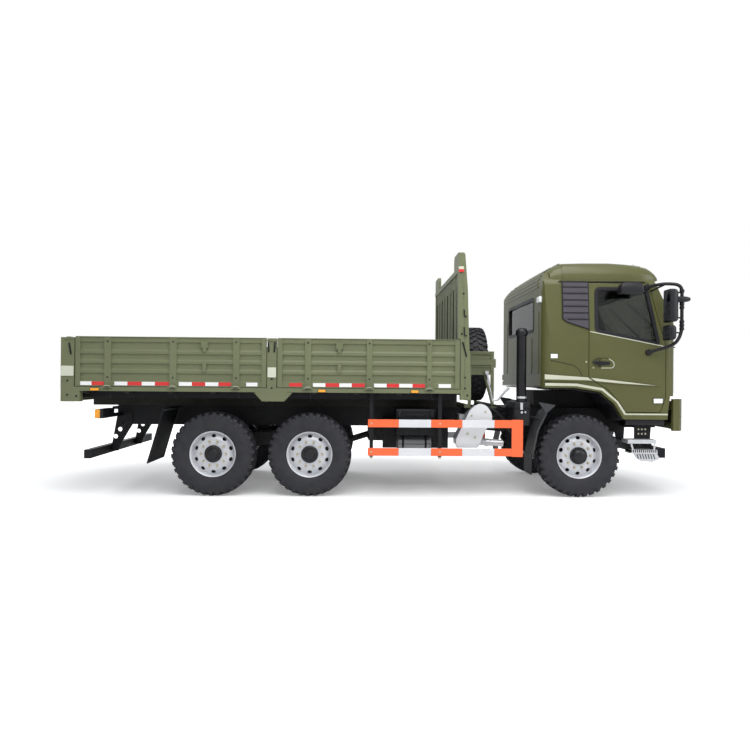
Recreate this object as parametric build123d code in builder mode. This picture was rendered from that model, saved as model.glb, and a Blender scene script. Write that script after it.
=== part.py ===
"""Three-axle military cargo truck: tilting cab, drop-side bed, spare wheel upright behind the cab.

Frame: +X forward, +Y to the truck's left, +Z up, origin on the ground under the middle of its box.
All sizes are in millimetres.
"""
from build123d import *
from math import cos, radians, sin
import os

os.makedirs("parts", exist_ok=True)

# Driving dimensions
FRONT_AXLE_X = 2628
MIDDLE_AXLE_X = -902
REAR_AXLE_X = -2152
TYRE_R = 542.5
TRACK_HALF = 980
FLOOR_Z = 1410
BOARD_TOP_Z = 2045
HEADBOARD_X = 1008
HEADBOARD_TOP_Z = 2986
EAR_TOP_Z = 3181
RAIL_Y = 430
RAIL_Z = (870, 1140)
CAB_REAR_X = 2128
CAB_HALF_W = 1170
CAB_WALL = 60
CAB_PIVOT = (3938, 1205)
KINGPIN_Y = 850
GAP = 6
PIN_R = 18
SIDES = (("right", -1), ("left", 1))


def block(x_range, y_range, z_range, mode=Mode.ADD):
    """A straight bar or plate between two corners."""
    spans = (x_range, y_range, z_range)
    with Locations([tuple((low + high) / 2 for low, high in spans)]):
        Box(*(high - low for low, high in spans), mode=mode)


def side_plate(points, y_range, mode=Mode.ADD):
    """A plate with a side-view outline of (x, z) points, from one y to the other."""
    low, high = sorted(y_range)
    with BuildSketch(Plane.XZ.offset(-high)) as outline:
        with BuildLine():
            Polyline(*points, close=True)
        make_face()
    extrude(outline.sketch, amount=high - low, mode=mode)


def front_plate(points, x_range, mode=Mode.ADD):
    """A plate with a front-view outline of (y, z) points, from one x to the other."""
    low, high = x_range
    with BuildSketch(Plane.YZ.offset(low)) as outline:
        with BuildLine():
            Polyline(*points, close=True)
        make_face()
    extrude(outline.sketch, amount=high - low, mode=mode)


def plan_plate(points, z_range, mode=Mode.ADD):
    """A plate with a plan outline of (x, y) points, from one z to the other."""
    low, high = z_range
    with BuildSketch(Plane.XY.offset(low)) as outline:
        with BuildLine():
            Polyline(*points, close=True)
        make_face()
    extrude(outline.sketch, amount=high - low, mode=mode)


def pin(start, end, radius, mode=Mode.ADD):
    """A truly round bar, for hinge pins and bores."""
    axis = Vector(*end) - Vector(*start)
    with Locations([Plane(origin=start, z_dir=axis)]):
        Cylinder(radius, axis.length, align=(Align.CENTER, Align.CENTER, Align.MIN), mode=mode)


def rod(start, end, radius, sides=8, mode=Mode.ADD):
    """A faceted round bar from one point to another."""
    axis = Vector(*end) - Vector(*start)
    with BuildSketch(Plane(origin=start, z_dir=axis)) as section:
        RegularPolygon(radius, sides)
    extrude(section.sketch, amount=axis.length, mode=mode)


def turned(profile, sides, ring=False):
    """A faceted turned form about the Y axis, its profile listing (y, radius); a ring has no end caps."""
    turns = [radians(360 / sides * side) for side in range(sides)]
    loops = [[Vector(radius * cos(turn), y, radius * sin(turn)) for turn in turns] for y, radius in profile]
    pairs = list(zip(loops, loops[1:]))
    panels = [Face(Wire.make_polygon(loop)) for loop in (() if ring else (loops[0], loops[-1]))]
    if ring:
        pairs.append((loops[-1], loops[0]))
    for near, far in pairs:
        for side in range(sides):
            after = (side + 1) % sides
            panels.append(Face(Wire.make_polygon((near[side], near[after], far[after], far[side]))))
    return Solid(Shell(panels))


def mirrored(span, side):
    """A y range given for the left side, moved to the named side."""
    return tuple(sorted(side * value for value in span))


def save(builder, label):
    """Label a finished piece and write it."""
    builder.part.label = label
    export_step(builder.part, f"parts/{label}.step")


# Tyre and rim, built with the axle along Y and the outer side towards -Y
LUGS = 24
LUG_ROOT_R = 518
TREAD_HALF = 128
STEP_ANGLE = 360 / LUGS
LUG_TIP_R = TYRE_R / cos(radians(STEP_ANGLE * 0.3))
# Columns: share of one lug's pitch, radius
LUG_PROFILE = ((-0.3, LUG_TIP_R), (0.3, LUG_TIP_R), (0.5, LUG_ROOT_R))
# Columns: y, radius, round the carcass's section
CARCASS = ((-150, 430), (-124, 512), (124, 512), (150, 430), (120, 292), (-120, 292))


def wheel_point(radius, angle):
    return radius * cos(radians(angle)), radius * sin(radians(angle))


with BuildPart() as tyre_form:
    add(turned(CARCASS, LUGS, ring=True))
    with BuildSketch(Plane.XZ.offset(-TREAD_HALF)) as tread:
        with BuildLine():
            Polyline(*(wheel_point(radius, -90 + (lug + share) * STEP_ANGLE)
                       for lug in range(LUGS) for share, radius in LUG_PROFILE), close=True)
        make_face()
        RegularPolygon(500, LUGS, mode=Mode.SUBTRACT)
    extrude(tread.sketch, amount=2 * TREAD_HALF)

RIM_SIDES = 16
DISC_Y = (-84, -72)
# Columns: y, radius, round the section of the barrel with its outer flange
BARREL = ((-132, 270), (-132, 298), (-120, 284), (130, 284), (130, 270))
HAND_HOLES = 10
HAND_HOLE_R = 226
# Columns: distance outwards along the wheel's radius, distance along its rim
HAND_HOLE = ((23, -14), (23, 14), (0, 30), (-23, 14), (-23, -14), (0, -30))
SPINDLE_R = 50
# Columns: y, radius
FRONT_HUB = ((DISC_Y[0], 114), (-116, 112), (-172, 72))
REAR_HUB = ((DISC_Y[0], 114), (-120, 112), (-140, 66))


def rim_form(hub_profile):
    """A disc wheel with its hub, if the profile has one."""
    with BuildPart() as rim:
        add(turned(BARREL, RIM_SIDES, ring=True))
        with BuildSketch(Plane.XZ.offset(-DISC_Y[1])) as disc:
            RegularPolygon(BARREL[0][1] + 2, RIM_SIDES)
            with PolarLocations(HAND_HOLE_R, HAND_HOLES, start_angle=-90):
                Polygon(*HAND_HOLE, mode=Mode.SUBTRACT)
        extrude(disc.sketch, amount=DISC_Y[1] - DISC_Y[0])
        if hub_profile:
            add(turned(hub_profile, 12))
            rod((0, DISC_Y[1] + 1, 0), (0, DISC_Y[1] - 48, 0), SPINDLE_R + 4, mode=Mode.SUBTRACT)
    return rim.part


front_rim_form = rim_form(FRONT_HUB)
rear_rim_form = rim_form(REAR_HUB)

# Columns: name, axle x, rim
AXLES = (("front", FRONT_AXLE_X, front_rim_form), ("middle", MIDDLE_AXLE_X, rear_rim_form),
         ("rear", REAR_AXLE_X, rear_rim_form))
for axle, axle_x, rim_shape in AXLES:
    for hand, side in SIDES:
        turn = (0, 0, 0) if side < 0 else (0, 0, 180)
        place = (axle_x, side * TRACK_HALF, TYRE_R)
        with BuildPart() as rim:
            with Locations(place):
                add(rim_shape, rotation=turn)
        save(rim, f"rim_{axle}_{hand}")
        with BuildPart() as tyre:
            with Locations(place):
                add(tyre_form.part, rotation=turn)
        save(tyre, f"tyre_{axle}_{hand}")

# Steering knuckles, inside the front rims
DRUM_R = 205
DRUM_SIDES = 12
DRUM_Y = (925, 1016)
SPINDLE_END_Y = 1084
BOSS_Z = (TYRE_R - 55, TYRE_R + 55)
EAR_H = 45
ARM_X = FRONT_AXLE_X + 250
ARM_Y = 800
for hand, side in SIDES:
    with BuildPart() as knuckle:
        rod((FRONT_AXLE_X, side * DRUM_Y[0], TYRE_R), (FRONT_AXLE_X, side * DRUM_Y[1], TYRE_R),
            DRUM_R, DRUM_SIDES)
        rod((FRONT_AXLE_X, side * DRUM_Y[1], TYRE_R), (FRONT_AXLE_X, side * SPINDLE_END_Y, TYRE_R),
            SPINDLE_R)
        for ear_z in ((BOSS_Z[0] - GAP - EAR_H, BOSS_Z[0] - GAP),
                      (BOSS_Z[1] + GAP, BOSS_Z[1] + GAP + EAR_H)):
            rod((FRONT_AXLE_X, side * KINGPIN_Y, ear_z[0]), (FRONT_AXLE_X, side * KINGPIN_Y, ear_z[1]), 58)
            block((FRONT_AXLE_X - 50, FRONT_AXLE_X + 50), mirrored((KINGPIN_Y, DRUM_Y[0] + 5), side), ear_z)
        arm = ((FRONT_AXLE_X - 40, side * KINGPIN_Y, BOSS_Z[0] - GAP - EAR_H / 2),
               (ARM_X, side * ARM_Y, BOSS_Z[0] - GAP - EAR_H / 2))
        rod(*arm, 20)
    save(knuckle, f"knuckle_{hand}")

TIE_Z = BOSS_Z[0] - GAP - EAR_H / 2 + 20 + GAP
with BuildPart() as tie_rod:
    rod((ARM_X, -ARM_Y + 30, TIE_Z + 16), (ARM_X, ARM_Y, TIE_Z + 16), 13)
    rod((ARM_X, ARM_Y, TIE_Z), (ARM_X, ARM_Y, TIE_Z + 32), 26)
save(tie_rod, "tie_rod")

# Axles with their differential housings and spring seats
FRONT_SEAT_Z = TYRE_R + 75
REAR_SEAT_Z = TYRE_R + 66
with BuildPart() as front_axle:
    rod((FRONT_AXLE_X, -KINGPIN_Y, TYRE_R), (FRONT_AXLE_X, KINGPIN_Y, TYRE_R), 48)
    for _, side in SIDES:
        rod((FRONT_AXLE_X, side * KINGPIN_Y, BOSS_Z[0]), (FRONT_AXLE_X, side * KINGPIN_Y, BOSS_Z[1]), 64)
        block((FRONT_AXLE_X - 70, FRONT_AXLE_X + 70), mirrored((385, 475), side),
              (TYRE_R - 62, FRONT_SEAT_Z))
    rod((FRONT_AXLE_X, -60, TYRE_R), (FRONT_AXLE_X, 160, TYRE_R), 150, DRUM_SIDES)
    rod((FRONT_AXLE_X, 50, TYRE_R), (FRONT_AXLE_X - 260, 50, TYRE_R), 80)
save(front_axle, "front_axle")

with BuildPart() as rear_axles:
    for axle_x in (MIDDLE_AXLE_X, REAR_AXLE_X):
        rod((axle_x, -930, TYRE_R), (axle_x, 930, TYRE_R), 65)
        rod((axle_x, -110, TYRE_R), (axle_x, 110, TYRE_R), 185, DRUM_SIDES)
        rod((axle_x + 60, 0, TYRE_R), (axle_x + 300, 0, TYRE_R + 30), 90)
        for _, side in SIDES:
            block((axle_x - 60, axle_x + 60), mirrored((RAIL_Y + 65, RAIL_Y + 155), side),
                  (TYRE_R - 40, REAR_SEAT_Z))
            rod((axle_x, side * (DRUM_Y[0] - 65), TYRE_R), (axle_x, side * DRUM_Y[1], TYRE_R),
                DRUM_R, DRUM_SIDES)
            rod((axle_x, side * DRUM_Y[1], TYRE_R), (axle_x, side * SPINDLE_END_Y, TYRE_R), SPINDLE_R)
save(rear_axles, "rear_axles")

# Leaf springs: a packet under each rail over the front axle, and an upturned packet on each bogie side
FRONT_SPRING_HALF = 720
FRONT_SPRING_RISE = 155
LEAF_END = 25
BOGIE_X = (MIDDLE_AXLE_X + REAR_AXLE_X) / 2
BOGIE_HALF = (MIDDLE_AXLE_X - REAR_AXLE_X) / 2 + 60
with BuildPart() as springs:
    for _, side in SIDES:
        # Columns: distance from the axle, height over the seat, along the bottom and back along the top
        packet = ((-FRONT_SPRING_HALF, FRONT_SPRING_RISE), (-150, 0), (150, 0),
                  (FRONT_SPRING_HALF, FRONT_SPRING_RISE), (FRONT_SPRING_HALF, FRONT_SPRING_RISE + LEAF_END),
                  (150, 80), (-150, 80), (-FRONT_SPRING_HALF, FRONT_SPRING_RISE + LEAF_END))
        side_plate([(FRONT_AXLE_X + x, FRONT_SEAT_Z + z) for x, z in packet],
                   mirrored((RAIL_Y - 45, RAIL_Y + 45), side))
        packet = ((-BOGIE_HALF, 0), (BOGIE_HALF, 0), (BOGIE_HALF, 34), (140, 179), (-140, 179),
                  (-BOGIE_HALF, 34))
        side_plate([(BOGIE_X + x, REAR_SEAT_Z + z) for x, z in packet],
                   mirrored((RAIL_Y + 60, RAIL_Y + 160), side))
        rod((BOGIE_X, side * (RAIL_Y + 5), TYRE_R + 200), (BOGIE_X, side * (RAIL_Y + 60), TYRE_R + 200), 70)
save(springs, "springs")

# Chassis ladder frame
FRAME_X = (-3632, 3960)
FLANGE_W = 75
HANGER_Z = FRONT_SEAT_Z + FRONT_SPRING_RISE + LEAF_END
CROSS_X = (-3600, -2900, -1527, -300, 600, 1380)
with BuildPart() as chassis_frame:
    for _, side in SIDES:
        block(FRAME_X, mirrored((RAIL_Y - 5, RAIL_Y + 5), side), RAIL_Z)
        for z_range in ((RAIL_Z[0], RAIL_Z[0] + 10), (RAIL_Z[1] - 10, RAIL_Z[1])):
            block(FRAME_X, mirrored((RAIL_Y - FLANGE_W, RAIL_Y), side), z_range)
        # Front spring hangers
        for hanger_x in (FRONT_AXLE_X - FRONT_SPRING_HALF, FRONT_AXLE_X + FRONT_SPRING_HALF):
            side_plate(((hanger_x - 70, RAIL_Z[0]), (hanger_x + 70, RAIL_Z[0]),
                        (hanger_x + 30, HANGER_Z), (hanger_x - 30, HANGER_Z)),
                       mirrored((RAIL_Y - 45, RAIL_Y + 5), side))
    for cross_x in CROSS_X:
        block((cross_x - 40, cross_x + 40), (-RAIL_Y, RAIL_Y), (RAIL_Z[0] + 135, RAIL_Z[1] - 30))
    block((FRAME_X[1] - 30, FRAME_X[1]), (-RAIL_Y, RAIL_Y), RAIL_Z)
    # Cab pivot ears and the front cross tube with its hangers
    for _, side in SIDES:
        pivot_x, pivot_z = CAB_PIVOT
        block((pivot_x - 34, pivot_x + 22), mirrored((RAIL_Y, RAIL_Y + 40), side), (RAIL_Z[1] - 60, pivot_z))
        rod((pivot_x, side * RAIL_Y, pivot_z), (pivot_x, side * (RAIL_Y + 40), pivot_z), 34)
        pin((pivot_x, side * RAIL_Y, pivot_z), (pivot_x, side * (RAIL_Y + 85), pivot_z), PIN_R)
        side_plate(((3700, RAIL_Z[0]), (3900, RAIL_Z[0]), (3880, 560), (3780, 560)),
                   mirrored((RAIL_Y - 5, RAIL_Y + 5), side))
    block((3760, 3900), (-850, 850), (490, 620))
save(chassis_frame, "chassis_frame")

# Engine block, gearbox and propeller shafts
with BuildPart() as powertrain:
    block((2250, 3350), (-300, 300), (820, 1380))
    side_plate(((1500, 800), (2250, 760), (2250, 1180), (1700, 1120), (1500, 1050)), (-210, 210))
    rod((250, 0, 900), (1500, 0, 930), 60)
    block((-120, 250), (-230, 230), (640, 1060))
    rod((-590, 0, TYRE_R + 31), (-120, 0, 720), 45)
    # Radiator behind the grille flap
    block((3470, 3570), (-350, 350), (900, 1380))
    block((3350, 3470), (-120, 120), (950, 1150))
save(powertrain, "powertrain")

# Bed subframe, cross-members and floor
SUB_X = (-3960, 1100)
BEARER_X = (-3800, -3250, -2700, -2150, -1380, -850, -300, 250, 800)
with BuildPart() as bed_floor:
    for _, side in SIDES:
        block(SUB_X, mirrored((RAIL_Y - 40, RAIL_Y + 40), side), (RAIL_Z[1], 1260))
    for bearer_x in BEARER_X:
        front_plate(((-1140, 1370), (-1140, 1330), (-520, 1260), (520, 1260), (1140, 1330), (1140, 1370)),
                    (bearer_x - 35, bearer_x + 35))
    block((-3965, HEADBOARD_X + 8), (-1140, 1140), (1370, FLOOR_Z))
save(bed_floor, "bed_floor")

# Bed frame: sills, rear and centre posts
SILL_Z = (1351, 1405)
POST_Y = (1150, 1232)
with BuildPart() as bed_frame:
    for _, side in SIDES:
        block((-4030, 1036), mirrored((1141, 1232), side), SILL_Z)
        side_plate(((-4045, 2031), (-4045, 1215), (-3878, 1215), (-3878, 2031)), mirrored(POST_Y, side))
        block((-3878, -3805), mirrored((1141, 1232), side), (1216, SILL_Z[0]))
        side_plate(((-1438, 2040), (-1438, 1360), (-1605, 1345), (-1502, 1235), (-1222, 1235),
                    (-1121, 1345), (-1322, 1360), (-1322, 2040)), mirrored(POST_Y, side))
    block((-4018, -3960), (-1150, 1150), (1215, 1370))
save(bed_frame, "bed_frame")

# Headboard: ribbed panel between two tapering posts, with a raised ear at each corner
EAR_W = 420
# Columns: inwards from the ear's end, down from its top
EAR_CORNER = ((0, 60), (8, 30), (30, 8), (60, 0))
# Columns: x, z of the post's side outline
POST_OUTLINE = ((1038, 1270), (1173, 1270), (1173, 1464), (1141, 2174), (1125, 2691), (1089, 3143),
                (1075, EAR_TOP_Z - 12), (HEADBOARD_X, EAR_TOP_Z - 12), (HEADBOARD_X, 2060), (1038, 2050))
RIB_PITCH = 116
with BuildPart() as headboard:
    block((HEADBOARD_X + 34, HEADBOARD_X + 44), (-1152, 1152), (FLOOR_Z, HEADBOARD_TOP_Z - 66))
    for rib in range(-9, 10):
        rib_y = rib * RIB_PITCH
        block((HEADBOARD_X + 10, HEADBOARD_X + 36), (rib_y - 28, rib_y + 28), (FLOOR_Z, HEADBOARD_TOP_Z - 40))
    block((HEADBOARD_X, HEADBOARD_X + 60), (-1152, 1152), (HEADBOARD_TOP_Z - 66, HEADBOARD_TOP_Z))
    block((HEADBOARD_X + 10, 1100), (-1140, 1140), (FLOOR_Z - 80, FLOOR_Z))
    for _, side in SIDES:
        side_plate(POST_OUTLINE, mirrored((1152, 1232), side))
        corner = [(1232 - inward, EAR_TOP_Z - down) for inward, down in EAR_CORNER]
        corner += [(1232 - EAR_W + inward, EAR_TOP_Z - down) for inward, down in reversed(EAR_CORNER)]
        foot = [(1232 - EAR_W, HEADBOARD_TOP_Z - 66), (1232, HEADBOARD_TOP_Z - 66)]
        front_plate([(side * y, z) for y, z in (*corner, *foot)], (HEADBOARD_X, HEADBOARD_X + 40))
save(headboard, "headboard")

# Side boards: pressed panel with three ribs, uprights and end stiles
BOARD_Z = (1413, BOARD_TOP_Z)
BOARD_AXIS = (1252, 1401)
HINGE_R = 12
# Columns: name, rear x, front x, uprights as (from, to)
BOARDS = (("rear", -3863, -1452, ((-3501, -3414), (-2679, -2590), (-1876, -1793))),
          ("front", -1308, 1028, ((-960, -880), (-170, -97), (607, 667))))
# Columns: y outwards, z of the pressed section, from the bottom up
PANEL_SECTION = ((1222, 1413), (1222, 1480), (1206, 1492), (1206, 1574), (1222, 1582), (1222, 1616),
                 (1206, 1640), (1206, 1697), (1222, 1705), (1222, 1738), (1206, 1762), (1206, 1820),
                 (1222, 1828), (1222, 1861), (1206, 1885), (1206, 1968), (1222, 1979), (1222, BOARD_TOP_Z),
                 (1190, BOARD_TOP_Z), (1190, 1979), (1196, 1968), (1196, 1480), (1190, 1470), (1190, 1413))
for place, rear_x, front_x, uprights in BOARDS:
    for hand, side in SIDES:
        with BuildPart() as board:
            front_plate([(side * y, z) for y, z in PANEL_SECTION], (rear_x, front_x))
            for low_x, high_x in ((rear_x, rear_x + 60), *uprights, (front_x - 60, front_x)):
                block((low_x, high_x), mirrored((1200, 1230), side), BOARD_Z)
            for low_x, high_x in uprights:
                middle = (low_x + high_x) / 2
                rod((middle - 60, side * BOARD_AXIS[0], BOARD_AXIS[1]),
                    (middle + 60, side * BOARD_AXIS[0], BOARD_AXIS[1]), HINGE_R)
                block((middle - 25, middle + 25), mirrored((1222, 1256), side),
                      (BOARD_AXIS[1] + 4, BOARD_AXIS[1] + 45))
        save(board, f"board_{place}_{hand}")

GATE_AXIS = (-4030, 1392)
with BuildPart() as tailgate:
    side_plate([(-4008 - (y - 1222), z) for y, z in PANEL_SECTION], (-1143, 1143))
    for gate_y in (-1113, -560, 0, 560, 1113):
        block((-4016, -3988), (gate_y - 30, gate_y + 30), BOARD_Z)
    for hinge_y in (-840, -280, 280, 840):
        rod((GATE_AXIS[0], hinge_y - 50, GATE_AXIS[1]), (GATE_AXIS[0], hinge_y + 50, GATE_AXIS[1]), HINGE_R)
        block((GATE_AXIS[0] + 2, -4000), (hinge_y - 22, hinge_y + 22), (GATE_AXIS[1] + 4, 1450))
save(tailgate, "tailgate")

# Cab volume: the meeting of a side, a plan and a front outline, all pulled in by the same amount
CAB_SIDE = ((CAB_REAR_X, 1458), (2144, 1435), (2544, 1435), (2872, 1386), (3058, 1231), (3184, 1030),
            (3756, 1030), (3800, 1335), (3990, 1335), (3998, 1990), (3560, 2960), (3380, 3078), (2900, 3096),
            (2330, 3078), (CAB_REAR_X, 2900))
CAB_PLAN = ((CAB_REAR_X, -CAB_HALF_W), (3858, -CAB_HALF_W), (3975, -760), (3998, -300), (3998, 300),
            (3975, 760), (3858, CAB_HALF_W), (CAB_REAR_X, CAB_HALF_W))
SHOULDER = (1112, 2830)
CAB_FRONT = ((-CAB_HALF_W, 1000), (-CAB_HALF_W, 2050), (-SHOULDER[0], SHOULDER[1]), (-960, 2990),
             (-600, 3075), (0, 3092), (600, 3075), (960, 2990), SHOULDER, (CAB_HALF_W, 2050),
             (CAB_HALF_W, 1000))
ROOF_BEND_R = 250
SHOULDER_R = 120
CORNER_R = 130
CROWN_Z = 2850
TUNNEL_Y = 560
TUNNEL_Z = 1440
FRONT_WALL_X = 3930


def cab_volume(inset, rounded=False):
    """The cab's closed body, pulled in from the outer skin by the inset, with round bends if asked."""
    with BuildPart() as body:
        with BuildSketch(Plane.XZ) as side_view:
            with BuildLine():
                Polyline(*CAB_SIDE, close=True)
            make_face()
            offset(amount=-inset, kind=Kind.INTERSECTION, mode=Mode.REPLACE)
            if rounded:
                crown = side_view.vertices().filter_by_position(Axis.Y, CROWN_Z, CROWN_Z + 300)
                fillet(crown, ROOF_BEND_R - inset)
        extrude(side_view.sketch, amount=CAB_HALF_W + 100, both=True)
        with BuildSketch(Plane.XY) as plan_view:
            with BuildLine():
                Polyline(*CAB_PLAN, close=True)
            make_face()
            offset(amount=-inset, kind=Kind.INTERSECTION, mode=Mode.REPLACE)
            if rounded:
                fillet(plan_view.vertices().sort_by(Axis.X)[:4], CORNER_R - inset)
        extrude(plan_view.sketch, amount=3300, mode=Mode.INTERSECT)
        with BuildSketch(Plane.YZ) as front_view:
            with BuildLine():
                Polyline(*CAB_FRONT, close=True)
            make_face()
            offset(amount=-inset, kind=Kind.INTERSECTION, mode=Mode.REPLACE)
            if rounded:
                shoulders = front_view.vertices().filter_by_position(Axis.Y, SHOULDER[1] - 30, 3000)
                fillet(shoulders, SHOULDER_R - inset)
        extrude(front_view.sketch, amount=4200, mode=Mode.INTERSECT)
        block((2000, FRONT_WALL_X), (-TUNNEL_Y - inset, TUNNEL_Y + inset), (900, TUNNEL_Z + inset),
              mode=Mode.SUBTRACT)
    return body.part


ROOF_Z = 2828
REAR_WINDOW = ((-700, 2210), (700, 2210), (700, 2650), (-700, 2650))
WINDSCREEN = ((-1030, 2085), (1030, 2085), (975, 2770), (-975, 2770))
DOOR_EDGE = ((2728, 2818), (2728, 1567), (2843, 1500), (2980, 1420), (3120, 1270), (3215, 1127), (3664, 1127),
             (3733, 1321), (3733, 1993), (3520, 2818))
DOOR_WINDOW = ((2821, 2187), (3632, 2025), (3632, 2060), (3500, 2740), (2830, 2740))
HANDLE_RECESS = ((2786, 1732), (2830, 1708), (2960, 1708), (3004, 1732), (3004, 1806), (2960, 1830),
                 (2830, 1830), (2786, 1806))
FLAP = ((-800, 1341), (800, 1341), (800, 1960), (-800, 1960))
LOUVRE = ((2387, 2820), (2720, 2820), (2720, 2205), (2440, 2300), (2387, 2340))
REAR_CUT_X = 2000
FRONT_CUT_X = 3300
SIDE_CUT_Y = 1400
FLAP_BACK_X = 3895
# Raised forms of the side skin: a tapering moulding, the wheel arch's lip and the sill
WAIST_MOULDING = ((2140, 1526), (2140, 1612), (2724, 1576), (3131, 1532), (3650, 1470), (3131, 1492),
                  (2724, 1520))
ARCH_LIP = ((2146, 1436), (2544, 1436), (2873, 1387), (3059, 1232), (3185, 1031), (3756, 1031), (3768, 1112),
            (3210, 1112), (3110, 1265), (2905, 1440), (2560, 1497), (2146, 1502))
MOULDING_OUT = 12
with BuildPart() as cab_skin:
    add(cab_volume(0, rounded=True))
    for _, side in SIDES:
        for outline in (WAIST_MOULDING, ARCH_LIP):
            side_plate(outline, mirrored((CAB_HALF_W - 20, CAB_HALF_W + MOULDING_OUT), side))
outer_cab = cab_skin.part
inner_cab = cab_volume(CAB_WALL)
glass_outer = cab_volume(22)
glass_inner = cab_volume(30)


def grown(points, amount, plane):
    """An outline grown by an even amount."""
    with BuildSketch(plane) as outline:
        with BuildLine():
            Polyline(*points, close=True)
        make_face()
        if amount:
            offset(amount=amount, kind=Kind.INTERSECTION, mode=Mode.REPLACE)
    return outline.sketch


with BuildPart() as cab_shell:
    add(outer_cab)
    add(inner_cab, mode=Mode.SUBTRACT)
    block((2000, 4200), (-1400, 1400), (ROOF_Z, 3300), mode=Mode.SUBTRACT)
    extrude(grown(REAR_WINDOW, 0, Plane.YZ.offset(REAR_CUT_X)), amount=300, mode=Mode.SUBTRACT)
    extrude(grown(WINDSCREEN, 0, Plane.YZ.offset(FRONT_CUT_X)), amount=900, mode=Mode.SUBTRACT)
    extrude(grown(FLAP, GAP, Plane.YZ.offset(FLAP_BACK_X)), amount=300, mode=Mode.SUBTRACT)
    for _, side in SIDES:
        extrude(grown(DOOR_EDGE, GAP + 2, Plane.XZ.offset(-side * SIDE_CUT_Y)), amount=side * SIDE_CUT_Y / 2,
                mode=Mode.SUBTRACT)
        side_plate(((3770, 1445), (3770, 1390), (3896, 1184), (3925, 1172), (3956, 1178), (3970, 1205),
                    (3950, 1240), (3900, 1330), (3900, 1445)), mirrored((RAIL_Y + 50, RAIL_Y + 80), side))
        rod((CAB_PIVOT[0], side * (RAIL_Y + 40), CAB_PIVOT[1]),
            (CAB_PIVOT[0], side * (RAIL_Y + 90), CAB_PIVOT[1]), PIN_R + 3, 12, mode=Mode.SUBTRACT)
save(cab_shell, "cab_shell")

with BuildPart() as cab_roof:
    add(outer_cab)
    add(inner_cab, mode=Mode.SUBTRACT)
    block((2000, 4200), (-1400, 1400), (ROOF_Z, 3300), mode=Mode.INTERSECT)
    # Drip rails over the doors
    for _, side in SIDES:
        block((2340, 3480), mirrored((SHOULDER[0] - 30, SHOULDER[0] + 16), side), (ROOF_Z, ROOF_Z + 14))
save(cab_roof, "cab_roof")

with BuildPart() as window_cuts:
    extrude(grown(REAR_WINDOW, 0, Plane.YZ.offset(REAR_CUT_X)), amount=300)
    extrude(grown(WINDSCREEN, 0, Plane.YZ.offset(FRONT_CUT_X)), amount=900)

with BuildPart() as cab_glass:
    add(glass_outer)
    add(glass_inner, mode=Mode.SUBTRACT)
    add(window_cuts.part, mode=Mode.INTERSECT)
save(cab_glass, "cab_glass")

for hand, side in SIDES:
    with BuildPart() as door:
        add(outer_cab)
        add(inner_cab, mode=Mode.SUBTRACT)
        cut_plane = Plane.XZ.offset(-side * SIDE_CUT_Y)
        cut_depth = side * SIDE_CUT_Y / 2
        extrude(grown(DOOR_EDGE, 0, cut_plane), amount=cut_depth, mode=Mode.INTERSECT)
        extrude(grown(DOOR_WINDOW, 0, cut_plane), amount=cut_depth, mode=Mode.SUBTRACT)
        # Handle bar in its pressed recess
        side_plate(HANDLE_RECESS, mirrored((CAB_HALF_W - 16, CAB_HALF_W + 5), side), mode=Mode.SUBTRACT)
        block((2768, 3020), mirrored((CAB_HALF_W - 6, CAB_HALF_W + 10), side), (1754, 1784))
        for bracket_x in (2768, 2996):
            block((bracket_x, bracket_x + 24), mirrored((CAB_HALF_W - 17, CAB_HALF_W), side), (1754, 1784))
    save(door, f"door_{hand}")
    with BuildPart() as door_glass:
        add(glass_outer)
        add(glass_inner, mode=Mode.SUBTRACT)
        extrude(grown(DOOR_WINDOW, 0, cut_plane), amount=cut_depth, mode=Mode.INTERSECT)
    save(door_glass, f"door_glass_{hand}")

# Front flap with its grille slots
SLOT_Z = (1400, 1462, 1524, 1586, 1648)
with BuildPart() as grille_flap:
    add(outer_cab)
    add(inner_cab, mode=Mode.SUBTRACT)
    extrude(grown(FLAP, 0, Plane.YZ.offset(FLAP_BACK_X)), amount=300, mode=Mode.INTERSECT)
    block((FLAP_BACK_X, FRONT_WALL_X), (-TUNNEL_Y - CAB_WALL, TUNNEL_Y + CAB_WALL),
          (FLAP[0][1] - 1, TUNNEL_Z + CAB_WALL), mode=Mode.SUBTRACT)
    for slot_z in SLOT_Z:
        block((3700, 4200), (-560, 560), (slot_z, slot_z + 32), mode=Mode.SUBTRACT)
save(grille_flap, "grille_flap")

# Air louvres on the cab's sides, lying on the leaning skin
LOUVRE_GROOVES = (2330, 2500, 2670)
LOUVRE_SKIN = ((1159.5, 2205), (1171.5, 2205), (1125.5, 2820), (1113.5, 2820))
with BuildPart() as cab_louvres:
    for _, side in SIDES:
        front_plate([(side * y, z) for y, z in LOUVRE_SKIN], (2387, 2720))
    extrude(grown(LOUVRE, 0, Plane.XZ), amount=CAB_HALF_W + 100, both=True, mode=Mode.INTERSECT)
    for _, side in SIDES:
        for groove_z in LOUVRE_GROOVES:
            block((2380, 2690), mirrored((1122 + (2820 - groove_z) * 0.0744, 1200), side),
                  (groove_z, groove_z + 22), mode=Mode.SUBTRACT)
save(cab_louvres, "cab_louvres")

# Dashboard, seats and steering wheel
with BuildPart() as dashboard:
    side_plate(((3590, 1720), (3990, 1640), (3990, 2010), (3760, 2060), (3590, 1985)), (-1095, 1095))
    add(inner_cab, mode=Mode.INTERSECT)
    side_plate(((3560, 1790), (3600, 1760), (3600, 1850)), (560, 640))
save(dashboard, "dashboard")

SEAT_Y = (350, 850)
SEAT_OUTLINE = ((2700, 1501), (2830, 1501), (2830, 1800), (3250, 1800), (3270, 1850), (3250, 1925),
                (2850, 1905), (2760, 2600), (2720, 2680), (2640, 2670), (2640, 1800), (2700, 1780))
with BuildPart() as seats:
    for _, side in SIDES:
        side_plate(SEAT_OUTLINE, mirrored(SEAT_Y, side))
save(seats, "seats")

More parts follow.
